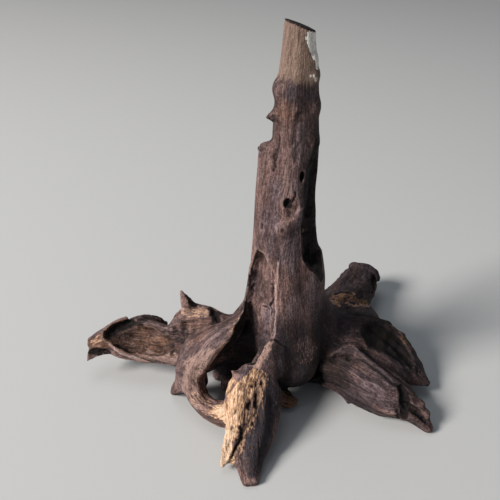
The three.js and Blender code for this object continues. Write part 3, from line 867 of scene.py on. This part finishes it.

# Patches of stain, painted shade and painted glints: how strong, places with radii, then how ragged, in lumps
# of what size and how soft.
PATCHES_BY_MASK = {
    "flecks": (
        (0.5, [(-208, 10, 46, 5), (-200, 12, 49, 5), (-191, 10, 47, 3)], 0.4, 4),
        (0.45, [(-92, -58, 30, 7), (-80, -64, 26, 7), (-66, -74, 28, 7)], 0.5, 5),
        # Painted glints on the buttress's facet.
        (0.25, [(-18, -41, 86, 2), (-25, -44, 76, 4), (-32, -47, 67, 4)], 0.5, 4),
        (0.8, [(54, 57, 66, 5), (61, 52, 66, 5)], 0.5, 4),
        (1.0, [(74, 60, 59, 1.5), (91, 71, 47, 2.5), (108, 84, 36, 2)], 0.6, 4),
        (1.2, [(86, 85, 54, 1.5), (89, 86, 53, 1.5)], 0.4, 3),
        (0.6, [(-44, -104, 26, 3), (-48, -110, 19, 4.5), (-51, -115, 12, 4)], 0.4, 4),
        (0.08, [(-18, -38, 66, 12), (0, -44, 56, 16), (24, -34, 58, 18)], 0.8, 6),
    ),
    "ochre": (
        (1.0, [(54, 57, 66, 6), (61, 52, 66, 6)], 0.5, 4),
        (1.0, [(-44, -104, 26, 3), (-48, -110, 19, 4.5), (-51, -115, 12, 4)], 0.3, 4),
    ),
    # Painted shade and shadow in near black: under the peeled face's left rim, in the knot hole and notches,
    # under the bulb, in the bowl's hollows, flutes and holes, in the left root's tip and in the right front
    # root's hollows; the spur's tip and the back knob are darker too.
    "dark": (
        (0.5, [(-28, -11, 173, 5), (-31, -9, 162, 4), (-33, -9, 150, 4), (-34, -10, 136, 4)], 0.15, 5, 0.6),
        (0.9, [(-4, -17, 236, 4.5), (-3, -17, 231, 4)], 0.2, 4),
        (0.9, [(7, -14, 262, 2.5), (7, -14, 256, 3), (7, -14, 252, 2)], 0.2, 4),
        (0.85, [(20, -24, 12, 8), (36, -24, 26, 10), (52, -20, 42, 8)], 0.3, 6),
        (0.95, [(-192, 22, 47, 4), (-185, 28, 50, 5), (-178, 33, 51, 6), (-171, 34, 53, 5)], 0.25, 4),
        (0.7, [(-183, 9, 40, 3), (-174, 4, 37, 3), (-164, 2, 35, 2)], 0.4, 4),
        (0.6, [(-23, -7, 306, 3), (-18, -10, 306, 4.5)], 0.5, 3),
        (0.6, [(-31, -6, 280, 2.5), (-28, -9, 279, 2.5)], 0.3, 3),
        (0.8, [(-184, 7, 46, 4), (-179, 12, 44, 4)], 0.2, 4),
        (0.6, [(-160, 29, 57, 6), (-150, 44, 51, 9), (-138, 42, 46, 7)], 0.3, 4),
        (0.5, [(-107, 9, 77, 3), (-108, 4, 66, 3.5)], 0.5, 5, 0.6),
        (0.4, [(-87, 7, 80, 3), (-87, -6, 77, 3)], 0.5, 5, 0.6),
        (0.9, [(-211, 2, 38, 4), (-204, 2, 38, 5), (-194, 1, 37, 5)], 0.2, 4),
        (0.95, [(-103, 20, 101, 3), (-99, 19, 96, 5), (-96, 20, 91, 5)], 0.3, 4),
        (0.95, [(117, -52, 42, 4), (119, -57, 36, 6), (119, -64, 28, 6), (118, -70, 20, 5)], 0.3, 4),
        (0.8, [(126, -65, 29, 3), (132, -69, 22, 4), (138, -73, 16, 3)], 0.3, 4),
        (0.95, [(-80, 19, 85, 3), (-74, 14, 82, 6), (-73, 10, 78, 5)], 0.4, 4),
        (0.6, [(-84, 8, 83, 4), (-77, 2, 79, 5)], 0.5, 5, 0.6),
    ),
    "bluish_dark": (
        # A painted shadow along the front root's top, where it meets the trunk's bulb.
        (0.8, [(-48, -50, 62, 5), (-36, -52, 62, 6), (-24, -56, 59, 7)], 0.4, 5),
        (0.5, [(4, -18, 262, 8), (-6, -22, 248, 9)], 0.6, 6),
        (0.5, [(10, -34, 50, 16), (20, -28, 66, 14)], 0.5, 9),
    ),
    "golden": (
        (0.5, [(30, -34, 30, 14), (50, -38, 34, 14), (46, -20, 50, 10)], 0.4, 7),
        (0.9, [(-208, 8, 44, 8), (-198, 8, 46, 8)], 0.3, 5),
        (0.6, [(-8, -14, 314, 9), (4, -16, 313, 9), (14, -10, 311, 8)], 0.4, 6, 0.6),
    ),
    "rust": (
        (0.95, [
            (58, 62, 62, 6), (66, 66, 63, 9), (78, 75, 59, 6), (92, 80, 49, 5), (105, 87, 38, 4),
        ], 0.6, 6),
        (1.0, [(-8, -42, 14, 7), (2, -44, 12, 8), (12, -42, 9, 5)], 0.4, 4),
    ),
    "bleach": (
        (0.5, [(11, -11, 341, 2.5), (14, -9, 338, 2.5)], 0.9, 3),
    ),
    "pale": (
        # The buttress's facet: pale wood, with a painted highlight where it faces the light.
        (0.75, [(-17, -40, 88, 2), (-24, -43, 79, 6), (-32, -46, 69, 8)], 0.45, 4),
        (0.25, [(16, -36, 82, 9), (24, -32, 68, 10)], 0.8, 5),
        (0.7, [
            (-62, -34, 80, 7), (-76, -38, 72, 9), (-92, -38, 60, 11), (-98, -50, 40, 10), (-90, -60, 28, 8),
        ], 0.5, 7),
        (0.3, [(-36, -10, 145, 2), (-41, -12, 127, 3), (-47, -16, 114, 4), (-54, -27, 96, 5)], 0.4, 5),
        (0.75, [(-156, -6, 34, 7), (-138, -12, 36, 9), (-118, -16, 42, 9), (-104, -24, 50, 8)], 0.6, 6),
    ),
}
for mask, spots in PATCHES_BY_MASK.items():
    for strength, line, *edge in spots:
        add(mask, strength, patch(line, *edge))

# Stains and painted shade that follow the forms, and patches that carry more than one.
uneven = layers(points, 9, 3, 81.0)
tan_top = step(326, 348, z + 5 * uneven) * on_trunk
band = patch([(-110, 17, 84, 4), (-103, 16, 83, 5.5), (-95, 16, 83, 6), (-86, 15, 83, 5)], 0.4, 4)
add("pale", 1.0, band)
add("flecks", 0.7, band)
add("edge", 0.55, patch([
    (-189, 7, 45, 1.2), (-184, 3, 42, 1.2), (-178, 0, 40, 1.3), (-168, -3, 37, 1.2), (-156, -6, 35, 1),
], 0.9, 3, 0.5, True))
# A painted highlight: pale, sparkling flecks along the wing's lower edge.
wing_edge = patch([(-46, -18, 104, 2), (-52, -26, 96, 3), (-61, -33, 86, 4), (-71, -40, 76, 4)], 0.5, 5)
add("flecks", 0.8, wing_edge)
add("pale", 0.6, wing_edge)
add("golden", 0.35, step(-34, -52, x) * (1 - on_trunk))
add("golden", 1.0, in_trough)
right_rim = patch([(104, 22, 63, 3), (114, 21, 60, 3), (127, 13, 52, 3.5), (138, 3, 42, 3)], 0.6, 4)
add("ochre", 0.6, right_rim)
add("flecks", 0.1, right_rim)
add("ochre", 0.8, mottled * step(50, 30, x))
add("flecks", 0.45, mottled * step(50, 30, x))
below_saw = step(1, 2.5, saw_level - points @ saw_normal)
tan_top *= below_saw
bleached = below_saw * patch([
    (13, -8, 378, 7), (13, -8, 367, 6.2), (14, -7, 357, 4.4), (15, -7, 347, 3),
], 0.6, 8, 0.2)
add("bleach", 1.0, bleached)
crust = step(0.05, 0.35, bleached) * step(0.95, 0.65, bleached) * step(18, 12, x)
add("bluish_dark", 0.5, step(312, 330, z + 12 * uneven) * step(344, 334, z + 5 * uneven))
# The dark toe: painted light on its lit left side and painted shade on its right, over its own dark mottled
# tone.
toe_left = toe * step(-32, -43, x)
add("bluish_dark", 0.9, toe * (0.8 + 0.9 * layers(points, 8, 3, 97.0)) - 0.4 * toe_left)
add("flecks", 0.06, at_back)
# Painted shade: the side channel, the gap behind the wing and the middle root's scoop are painted near black
# where shade falls; the wood just below the saw cut is darker too.
add("dark", 1.0, in_channel)
add("dark", 0.85, in_gap)
add("dark", 1.0, in_scoop * (1.0 + 0.4 * uneven))
add("dark", 0.7, step(2.5, 0.5, saw_level - points @ saw_normal))

# The relief is raised, and kept above the table and below the saw cut.
points = points + normals * lift[:, None]
points[:, 2] = np.maximum(points[:, 2], 0)
points = points - saw_normal * np.maximum(points @ saw_normal - saw_level, 0)[:, None]
points = eased(points, quads, 1, 0.15)
normals = normals_of(points, quads)

# Edges that are worn pale, painted shade in sheltered hollows, and the relief of the fibres, used for painted
# light on their tops and painted shade in their grooves.
thin = 1 + sample(points - 3 * normals) / 3
thick = 1 + sample(points - 7 * normals) / 7
open_air = np.clip(sample(points + 8 * normals) / 8, 0, 1)
relief = ((points - eased(points, quads, 6)) * normals).sum(axis=1)
masks["worn"] = np.clip(step(0.1, 0.7, thin) + 0.5 * step(0.2, 0.8, thick), 0, 1)
masks["hollow"] = np.clip(1 - open_air, 0, 1)
masks["relief"] = np.clip(0.5 + relief / 0.7, 0, 1)

# Painted shade where shadow falls: on the right, low on the trunk, behind the wing, in the bowl, on toe and
# back root.
painted_shade = 0.7 * step(0, 60, x) * step(140, 60, z)
painted_shade = np.maximum(painted_shade, 0.95 * step(80, 35, np.hypot(x, y)) * step(138, 92, z) * step(-24, -4, x))
painted_shade = np.maximum(painted_shade, 0.8 * step(80, 35, np.hypot(x, y)) * step(112, 72, z) * step(-50, -24, x))
painted_shade = np.maximum(painted_shade, 0.5 * in_trough * step(-140, -165, x))
painted_shade = np.maximum(painted_shade, 0.3 * step(230, 300, z) * on_trunk)
painted_shade = np.maximum(painted_shade, 0.5 * step(-2, 14, x) * step(215, 255, z) * step(342, 322, z) * on_trunk)
painted_shade = np.maximum(painted_shade, 0.35 * step(-90, -130, x) * (0.6 + 0.8 * uneven))
# Painted shade on the dark toe, less on its lit left side.
painted_shade = np.maximum(painted_shade, 0.85 * toe - 0.35 * toe_left)
painted_shade = np.maximum(painted_shade, 0.85 * at_back)
# Patches of painted shade.
PAINTED_SHADE_PATCHES = (  # how dark, places with radii, how ragged and in lumps of what size
    (1.0, [(-34, 0, 50, 22), (-50, -4, 40, 22), (-66, -6, 30, 18)], 0.3, 9),
    (0.95, [
        (20, -30, 20, 22), (40, -10, 60, 22), (60, 20, 76, 26), (84, 24, 66, 28), (112, 12, 50, 26),
        (136, -8, 34, 20),
    ], 0.4, 14),
    (0.9, [(30, -34, 30, 12), (46, -36, 36, 15), (60, -40, 36, 12), (64, -24, 54, 8)], 0.4, 7),
    (0.95, [
        (-42, -9, 112, 5), (-38, -8, 98, 10), (-38, -12, 84, 12), (-44, -13, 66, 12), (-46, -14, 50, 10),
    ], 0.3, 6),
    (0.85, [(50, -18, 56, 9), (62, -20, 60, 9), (74, -28, 56, 7)], 0.4, 6),
    (0.5, [(-34, -8, 140, 12), (-44, -14, 116, 14), (-54, -22, 90, 14)], 0.3, 9),
    (0.6, [(-178, 36, 50, 8), (-160, 42, 54, 12), (-138, 43, 45, 9)], 0.3, 8),
)
for strength, line, *edge in PAINTED_SHADE_PATCHES:
    painted_shade = np.maximum(painted_shade, strength * patch(line, *edge))
# The lit plane of the right front root is kept mostly out of the painted shade and gets faint pale specks as
# painted glints; painted shade is also kept off pale, rusty and rotten wood.
plane = patch([(72, -40, 50, 8), (86, -52, 42, 13), (98, -60, 32, 14), (104, -62, 24, 9)], 0.3, 6)
painted_shade *= 1 - 0.75 * plane
painted_shade *= 1 - 0.8 * np.maximum(masks["pale"], np.maximum(0.4 * masks["rust"], masks["rot"]))
masks["pale"] = np.maximum(masks["pale"], 0.1 * plane)
masks["painted_shade"] = np.clip(painted_shade, 0, 1)
masks["worn"] *= 1 - 0.85 * np.maximum(masks["painted_shade"], plane)
masks["tan"] = tan_top
masks["crust"] = crust


# Making the pieces

def caps(piece_quads, points, normals):
    """Triangles that close a piece where it parts from its neighbours, dished into the wood."""
    start, end = piece_quads.ravel(), np.roll(piece_quads, -1, axis=1).ravel()
    count = len(points)
    forward, backward = start * count + end, end * count + start
    after = {}
    for i in np.flatnonzero(~np.isin(forward, backward)):
        after.setdefault(int(start[i]), []).append(int(end[i]))
    triangles, centres = [], []
    while after:
        first = next(iter(after))
        loop = [first]
        while loop[-1] in after:
            choices = after[loop[-1]]
            chosen = choices.pop()
            if not choices:
                del after[loop[-1]]
            if chosen == first:
                break
            loop.append(chosen)
        centres.append(points[loop].mean(axis=0) - normals[loop].mean(axis=0) * 2)
        triangles += [(q, p, count + len(centres) - 1) for p, q in zip(loop, loop[1:] + loop[:1])]
    return np.array(triangles, int).reshape(-1, 3), np.array(centres).reshape(-1, 3)


def write(mesh, name, values):
    kind, field_name = ("FLOAT", "value") if values.ndim == 1 else ("FLOAT_VECTOR", "vector")
    layer = mesh.attributes.new(name, kind, "POINT")
    layer.data.foreach_set(field_name, values.astype(FLOAT).ravel())


def make_piece(name, number):
    mine = quads[owner[quads[:, 0]] == number]
    triangles, centres = caps(mine, points, normals)
    everything = np.vstack([points, centres])
    shading = np.vstack([normals, np.tile((0, 0, 1), (len(centres), 1))])
    used = np.unique(np.concatenate([mine.ravel(), triangles.ravel()]))
    renumber = np.full(len(everything), -1)
    renumber[used] = np.arange(len(used))
    mesh = bpy.data.meshes.new(f"{name}_wood")
    faces = renumber[mine].tolist() + renumber[triangles].tolist()
    mesh.from_pydata(((everything[used] - MIDDLE) * MM).tolist(), [], faces)
    mesh.shade_smooth()
    mesh.normals_split_custom_set_from_vertices(shading[used].tolist())

    def on_piece(values):
        spare = np.zeros((len(centres),) + values.shape[1:])
        return np.concatenate([values, spare])[used]

    for k in range(3):
        write(mesh, f"grain_{k}", on_piece(grain[k]))
    write(mesh, "grain_share", on_piece(grain_share.T))
    for mask, values in masks.items():
        write(mesh, mask, on_piece(values))
    piece = bpy.data.objects.new(f"{name}_wood", mesh)
    bpy.context.scene.collection.objects.link(piece)
    return piece


# Materials

def node(tree, kind, values=None, **settings):
    """A node with its settings, and its inputs either set or joined to other nodes' outputs."""
    made = tree.nodes.new(kind)
    for key, value in settings.items():
        setattr(made, key, value)
    for key, value in (values or {}).items():
        if isinstance(value, bpy.types.NodeSocket):
            tree.links.new(value, made.inputs[key])
        else:
            made.inputs[key].default_value = value
    return made


def maths(tree, operation, a, b=0.0, c=0.0, clamp=False):
    """One step of arithmetic on up to three values."""
    made = node(tree, "ShaderNodeMath", {0: a, 1: b, 2: c}, operation=operation, use_clamp=clamp)
    return made.outputs[0]


def spread(tree, value, low, high, to_low=0.0, to_high=1.0):
    """A value's range from low to high brought to another range."""
    values = {"Value": value, "From Min": low, "From Max": high, "To Min": to_low, "To Max": to_high}
    return node(tree, "ShaderNodeMapRange", values, interpolation_type="SMOOTHSTEP").outputs["Result"]


def mixed(tree, factor, a, b, mode="MIX"):
    values = {0: factor, 6: a, 7: b}
    return node(tree, "ShaderNodeMix", values, data_type="RGBA", blend_type=mode).outputs[2]


def mask_of(tree, name, output="Fac"):
    return node(tree, "ShaderNodeAttribute", attribute_name=name, attribute_type="GEOMETRY").outputs[output]


def new_group(name, inputs, outputs):
    tree = bpy.data.node_groups.new(name, "ShaderNodeTree")
    for label, value in inputs.items():
        kind = "NodeSocketColor" if isinstance(value, tuple) else "NodeSocketFloat"
        tree.interface.new_socket(label, in_out="INPUT", socket_type=kind).default_value = value
    for label, kind in outputs.items():
        tree.interface.new_socket(label, in_out="OUTPUT", socket_type=kind)
    return tree, tree.nodes.new("NodeGroupInput").outputs, tree.nodes.new("NodeGroupOutput").inputs


def use(tree, shared, **values):
    """A shared group placed in a tree; words in an input's name are joined by underscores here."""
    values = {key.replace("_", " "): value for key, value in values.items()}
    return node(tree, "ShaderNodeGroup", values, node_tree=shared).outputs


def make_grain():
    """Noise drawn out along the grain: Width across in mm, Stretch times as long."""
    inputs = {"Width": 2.0, "Stretch": 12.0, "Detail": 2.0, "Shift": 0.0}
    tree, given, out = new_group("grain", inputs, {"Value": "NodeSocketFloat"})
    length = maths(tree, "MULTIPLY", given["Width"], given["Stretch"])
    size = node(tree, "ShaderNodeCombineXYZ", {0: given["Width"], 1: given["Width"], 2: length}).outputs[0]
    shares = node(tree, "ShaderNodeSeparateXYZ", {0: mask_of(tree, "grain_share", "Vector")}).outputs
    total = 0.0
    for k in range(3):
        run = mask_of(tree, f"grain_{k}", "Vector")
        place = node(tree, "ShaderNodeVectorMath", {0: run, 1: size}, operation="DIVIDE")
        moved = node(tree, "ShaderNodeVectorMath", {0: place.outputs[0], 1: given["Shift"]}, operation="ADD")
        values = {"Vector": moved.outputs[0], "Scale": 1.0, "Detail": given["Detail"], "Roughness": 0.6}
        lines = node(tree, "ShaderNodeTexNoise", values).outputs[0]
        total = maths(tree, "MULTIPLY_ADD", lines, shares[k], total)
    tree.links.new(total, out["Value"])
    return tree


def make_specks():
    """Fine round specks in the open, Size in mm."""
    inputs = {"Size": 2.0, "Low": 0.5, "High": 0.65, "Shift": 0.0}
    tree, given, out = new_group("specks", inputs, {"Value": "NodeSocketFloat"})
    place = node(tree, "ShaderNodeTexCoord").outputs["Object"]
    scale = maths(tree, "DIVIDE", 1 / MM, given["Size"])
    moved = node(tree, "ShaderNodeVectorMath", {0: place, 1: given["Shift"]}, operation="ADD").outputs[0]
    lumps = node(tree, "ShaderNodeTexNoise", {"Vector": moved, "Scale": scale, "Detail": 2.0}).outputs[0]
    tree.links.new(spread(tree, lumps, given["Low"], given["High"]), out["Value"])
    return tree


def make_weathered(grain_group, specks_group):
    """Bare weathered wood: dark in the grooves and paler on top, from its grain and from the relief, which
    adds painted shade in grooves and painted light on tops.
    """
    inputs = {
        "Deep": (0.018, 0.0105, 0.0105, 1),
        "Body": (0.113, 0.071, 0.067, 1),
        "Dry": (0.37, 0.26, 0.25, 1),
        "Contrast": 1.0,
    }
    outputs = {"Color": "NodeSocketColor", "Height": "NodeSocketFloat", "Lines": "NodeSocketFloat"}
    tree, given, out = new_group("weathered wood", inputs, outputs)
    bands = use(tree, grain_group, Width=8.0, Stretch=6.0, Detail=2.0, Shift=3.0)[0]
    lines = use(tree, grain_group, Width=1.25, Stretch=22.0, Detail=3.0, Shift=7.0)[0]
    flecks = use(tree, grain_group, Width=0.7, Stretch=9.0, Detail=2.0, Shift=11.0)[0]
    pores = use(tree, specks_group, Size=2.2, Low=0.36, High=0.6, Shift=1.0)[0]
    tone = bands
    # The relief term paints raised tops lighter and grooves darker: painted light and shade.
    for part, weight in ((lines, 1.3), (flecks, 1.0), (pores, 0.2), (mask_of(tree, "relief"), 0.6)):
        tone = maths(tree, "MULTIPLY_ADD", part, weight, tone)
    clouds = use(tree, grain_group, Width=26.0, Stretch=2.2, Detail=4.0, Shift=43.0)[0]
    usual_tone = 2.13  # the middle of its range, about which Contrast works
    tone = maths(tree, "MULTIPLY", maths(tree, "ADD", tone, -usual_tone), given["Contrast"])
    tone = maths(tree, "MULTIPLY_ADD", clouds, 1.0, tone)
    tone = maths(tree, "ADD", tone, usual_tone - 0.5)
    low = mixed(tree, spread(tree, tone, 1.6, 2.2), given["Deep"], given["Body"])
    colour = mixed(tree, spread(tree, tone, 2.0, 2.65), low, given["Dry"])
    warm = use(tree, grain_group, Width=18.0, Stretch=3.0, Detail=3.0, Shift=31.0)[0]
    warmer = mixed(tree, 1.0, colour, (1.1, 0.99, 0.91, 1), "MULTIPLY")
    cooler = mixed(tree, 1.0, colour, (0.84, 0.86, 0.94, 1), "MULTIPLY")
    colour = mixed(tree, spread(tree, warm, 0.4, 0.6), cooler, warmer)
    golden = mixed(tree, 1.0, colour, (1.0, 0.86, 0.64, 1), "MULTIPLY")
    colour = mixed(tree, mask_of(tree, "golden"), colour, golden)
    # Painted shade: the colour is multiplied down to a cool dark where the shade mask says.
    shaded = mixed(tree, 1.0, colour, (0.17, 0.175, 0.2, 1), "MULTIPLY")
    colour = mixed(tree, mask_of(tree, "painted_shade"), colour, shaded)
    tree.links.new(colour, out["Color"])
    height = maths(tree, "MULTIPLY_ADD", lines, 0.6, maths(tree, "MULTIPLY", flecks, 0.4))
    height = maths(tree, "MULTIPLY_ADD", pores, 0.15, height)
    tree.links.new(height, out["Height"])
    tree.links.new(lines, out["Lines"])
    return tree


def make_strands(grain_group):
    """Noise for broken edges: Lines of a Width in mm and Fine ones, Stretch times as long."""
    outputs = {"Lines": "NodeSocketFloat", "Fine": "NodeSocketFloat"}
    tree, given, out = new_group("strands", {"Width": 2.2, "Stretch": 8.0, "Shift": 0.0}, outputs)
    same = {"Stretch": given["Stretch"], "Shift": given["Shift"]}
    lines = use(tree, grain_group, Width=given["Width"], Detail=3.0, **same)[0]
    fine = use(tree, grain_group, Width=0.9, Detail=2.0, **same)[0]
    tree.links.new(lines, out["Lines"])
    tree.links.new(maths(tree, "MULTIPLY_ADD", fine, 0.6, maths(tree, "MULTIPLY", lines, 0.4)), out["Fine"])
    return tree


def make_cover():
    """A tint laid over the wood where a mask says; Lines break up its edge and Fine varies its tone."""
    inputs = {"Color": (0, 0, 0, 1), "Tint": (1, 1, 1, 1), "Mask": 0.0, "Lines": 0.5, "Fine": 0.5}
    inputs.update({"Amount": 1.0, "Ragged": 0.5, "Start": 0.25, "Grain": 1.0})
    tree, given, out = new_group("cover", inputs, {"Color": "NodeSocketColor"})
    off = maths(tree, "SUBTRACT", given["Lines"], 0.5)
    uneven = maths(tree, "MULTIPLY_ADD", off, maths(tree, "MULTIPLY", given["Ragged"], 4.0), given["Mask"])
    share = spread(tree, uneven, given["Start"], maths(tree, "ADD", given["Start"], 0.5))
    share = maths(tree, "MULTIPLY", share, given["Amount"])
    share = maths(tree, "MULTIPLY", share, spread(tree, given["Mask"], 0.02, 0.2))
    darker = mixed(tree, 1.0, given["Tint"], (0.4, 0.38, 0.38, 1), "MULTIPLY")
    lighter = mixed(tree, 1.0, given["Tint"], (1.25, 1.25, 1.25, 1), "MULTIPLY")
    darker = mixed(tree, given["Grain"], given["Tint"], darker)
    tint = mixed(tree, spread(tree, given["Fine"], 0.38, 0.62), darker, lighter)
    tree.links.new(mixed(tree, share, given["Color"], tint), out["Color"])
    return tree


grain_group = make_grain()
specks_group = make_specks()
weathered_group = make_weathered(grain_group, specks_group)
strands_group = make_strands(grain_group)
cover_group = make_cover()

NEAR_BLACK = (0.006, 0.004, 0.004, 1)
SHADE_AND_STAIN_BLACK = (0.010, 0.007, 0.006, 1)
BLUE_BLACK = (0.026, 0.024, 0.031, 1)
DUSTY_PINK = (0.33, 0.215, 0.18, 1)
TAN = (0.225, 0.151, 0.115, 1)
BLEACHED = (0.92, 0.88, 0.8, 1)
CHALK = (0.95, 0.92, 0.84, 1)
OCHRE = (0.24, 0.13, 0.075, 1)
RUST = (0.27, 0.13, 0.045, 1)
STRAW = (0.6, 0.365, 0.21, 1)
PALE_STRAW = (0.68, 0.49, 0.345, 1)
OLD_STRAW = (0.36, 0.19, 0.1, 1)
ORANGE_CHIP_AND_GLINT = (0.48, 0.29, 0.19, 1)
PALE_EDGE = (0.56, 0.43, 0.4, 1)

# What lies over the bare wood: a mask, a tint, how much, how ragged and where in the mask it starts.
COMMON = [
    ("worn", DUSTY_PINK, 0.4, 0.6, 0.3),
    # A bluish-black tint: a band at the foot of the tan top, the dark toe, the bulb, and a painted shadow
    # along the front root's top.
    ("bluish_dark", BLUE_BLACK, 0.6, 0.5, 0.3),
    ("pale", DUSTY_PINK, 0.8, 0.6, 0.25),
    ("ochre", OCHRE, 0.65, 0.8, 0.3),
    ("rust", RUST, 0.65, 1.5, 0.5),
    # Orange chips, and painted glints on the facet and along the wing's edge.
    ("flecks", ORANGE_CHIP_AND_GLINT, 0.85, 1.0, 0.35),
    # Near black over the dark mask: painted shade in hollows, gaps and holes, with some darker wood.
    ("dark", SHADE_AND_STAIN_BLACK, 0.95, 0.3, 0.25),
    # Painted shade: sheltered hollows darkened towards near black.
    ("hollow", NEAR_BLACK, 0.75, 0.3, 0.3),
    ("edge", PALE_EDGE, 0.75, 0.1, 0.2),
]
ROTTEN = [
    ("rot", OLD_STRAW, 0.95, 0.4, 0.25),
    ("rot", STRAW, 0.9, 0.7, 0.4),
    ("rot", PALE_STRAW, 0.85, 0.8, 0.7),
]
OWN = {
    "trunk_wood": [
        ("tan", TAN, 0.85, 0.6, 0.25),
        ("bleach", BLEACHED, 0.95, 0.2, 0.25),
        ("crust", CHALK, 0.95, 0.5, 0.2),
    ],
    "root_wood": ROTTEN,
    "rotten_wood": ROTTEN,
    "dark_root_wood": [],
}


# How much the fine strands darken each tint; 1 where nothing is said.
EVEN = {"bleach": 0.15, "crust": 0.1, "tan": 0.35, "bluish_dark": 0.5, "pale": 0.6, "rot": 0.5, "edge": 0.3}
# Tints with a crumbly edge, where the others have a stringy one.
CRUMBLY = ("rot", "rust", "ochre", "bleach", "pale", "flecks")
CONTRAST = {"trunk_wood": 0.72, "root_wood": 0.75, "rotten_wood": 0.85, "dark_root_wood": 0.8}


def make_finish(name, covers, contrast):
    material = bpy.data.materials.new(name)
    material.use_nodes = True
    tree = material.node_tree
    shader = tree.nodes["Principled BSDF"]
    wood = use(tree, weathered_group, Contrast=contrast)
    colour = wood["Color"]
    long_strands = use(tree, strands_group, Width=2.2, Stretch=8.0, Shift=20.0)
    crumbs = use(tree, strands_group, Width=1.7, Stretch=3.5, Shift=34.0)
    for mask, tint, amount, ragged, start in covers:
        noise_set = crumbs if mask in CRUMBLY else long_strands
        values = {"Color": colour, "Tint": tint, "Mask": mask_of(tree, mask), "Grain": EVEN.get(mask, 1.0)}
        values.update({"Lines": noise_set["Lines"], "Fine": noise_set["Fine"]})
        colour = use(tree, cover_group, **values, Amount=amount, Ragged=ragged, Start=start)["Color"]
    cracked = maths(tree, "MULTIPLY", mask_of(tree, "crack"), 0.95, clamp=True)
    colour = mixed(tree, cracked, colour, NEAR_BLACK)
    tree.links.new(colour, shader.inputs["Base Color"])
    tree.links.new(spread(tree, wood["Lines"], 0.35, 0.65, 0.62, 0.85), shader.inputs["Roughness"])
    bump = node(tree, "ShaderNodeBump", {"Height": wood["Height"], "Distance": 0.0016, "Strength": 1.0})
    tree.links.new(bump.outputs[0], shader.inputs["Normal"])
    shader.inputs["Specular IOR Level"].default_value = 0.22
    return material


SLOTS = {
    "trunk": "trunk_wood",
    "left_root": "root_wood",
    "bridge_root": "root_wood",
    "front_root": "rotten_wood",
    "right_front_root": "dark_root_wood",
    "right_middle_root": "dark_root_wood",
    "back_root": "dark_root_wood",
}
finishes = {slot: make_finish(slot, COMMON + covers, CONTRAST[slot]) for slot, covers in OWN.items()}

for number, name in enumerate(names):
    piece = make_piece(name, number)
    piece.data.materials.append(finishes[SLOTS[name]])
    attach(piece, "root")
    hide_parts(name)


# Camera, light and floor

LENS = 40.32  # mm, on a sensor 36 mm wide
CAMERA_PLACE = (-0.008, -0.468, 0.465)
CAMERA_TILT = math.radians(57)  # up from looking straight down

scene = bpy.context.scene
scene.view_settings.view_transform = "Standard"
lens = bpy.data.cameras.new("camera")
lens.sensor_width = 36
lens.lens = LENS
camera = bpy.data.objects.new("camera", lens)
camera.location = CAMERA_PLACE
camera.rotation_euler = (CAMERA_TILT, 0, 0)
scene.collection.objects.link(camera)
scene.camera = camera


def soft_light(name, place, target, size, watts, colour):
    light = bpy.data.lights.new(name, "AREA")
    light.shape = "DISK"
    light.size = size
    light.energy = watts
    light.color = colour
    lamp = bpy.data.objects.new(name, light)
    lamp.location = place
    lamp.rotation_euler = (Vector(target) - Vector(place)).to_track_quat("-Z", "Y").to_euler()
    scene.collection.objects.link(lamp)


soft_light("key", (-5.0, -2.2, 3.8), (0, 0, 0.12), 2.4, 660, (1, 0.97, 0.94))
soft_light("top", (-0.3, 0.3, 1.6), (0, 0, 0.1), 1.0, 4, (0.9, 0.95, 1))

world = bpy.data.worlds.new("room")
world.use_nodes = True
world.node_tree.nodes["Background"].inputs["Color"].default_value = (0.8, 0.88, 1, 1)
world.node_tree.nodes["Background"].inputs["Strength"].default_value = 0.17
scene.world = world

floor_mesh = bpy.data.meshes.new("floor")
floor_mesh.from_pydata([(-6, -6, 0), (6, -6, 0), (6, 6, 0), (-6, 6, 0)], [], [(0, 1, 2, 3)])
floor = bpy.data.objects.new("floor", floor_mesh)
scene.collection.objects.link(floor)
paper = bpy.data.materials.new("paper")
paper.use_nodes = True
paper.node_tree.nodes["Principled BSDF"].inputs["Base Color"].default_value = (0.5, 0.5, 0.49, 1)
paper.node_tree.nodes["Principled BSDF"].inputs["Roughness"].default_value = 0.9
floor_mesh.materials.append(paper)
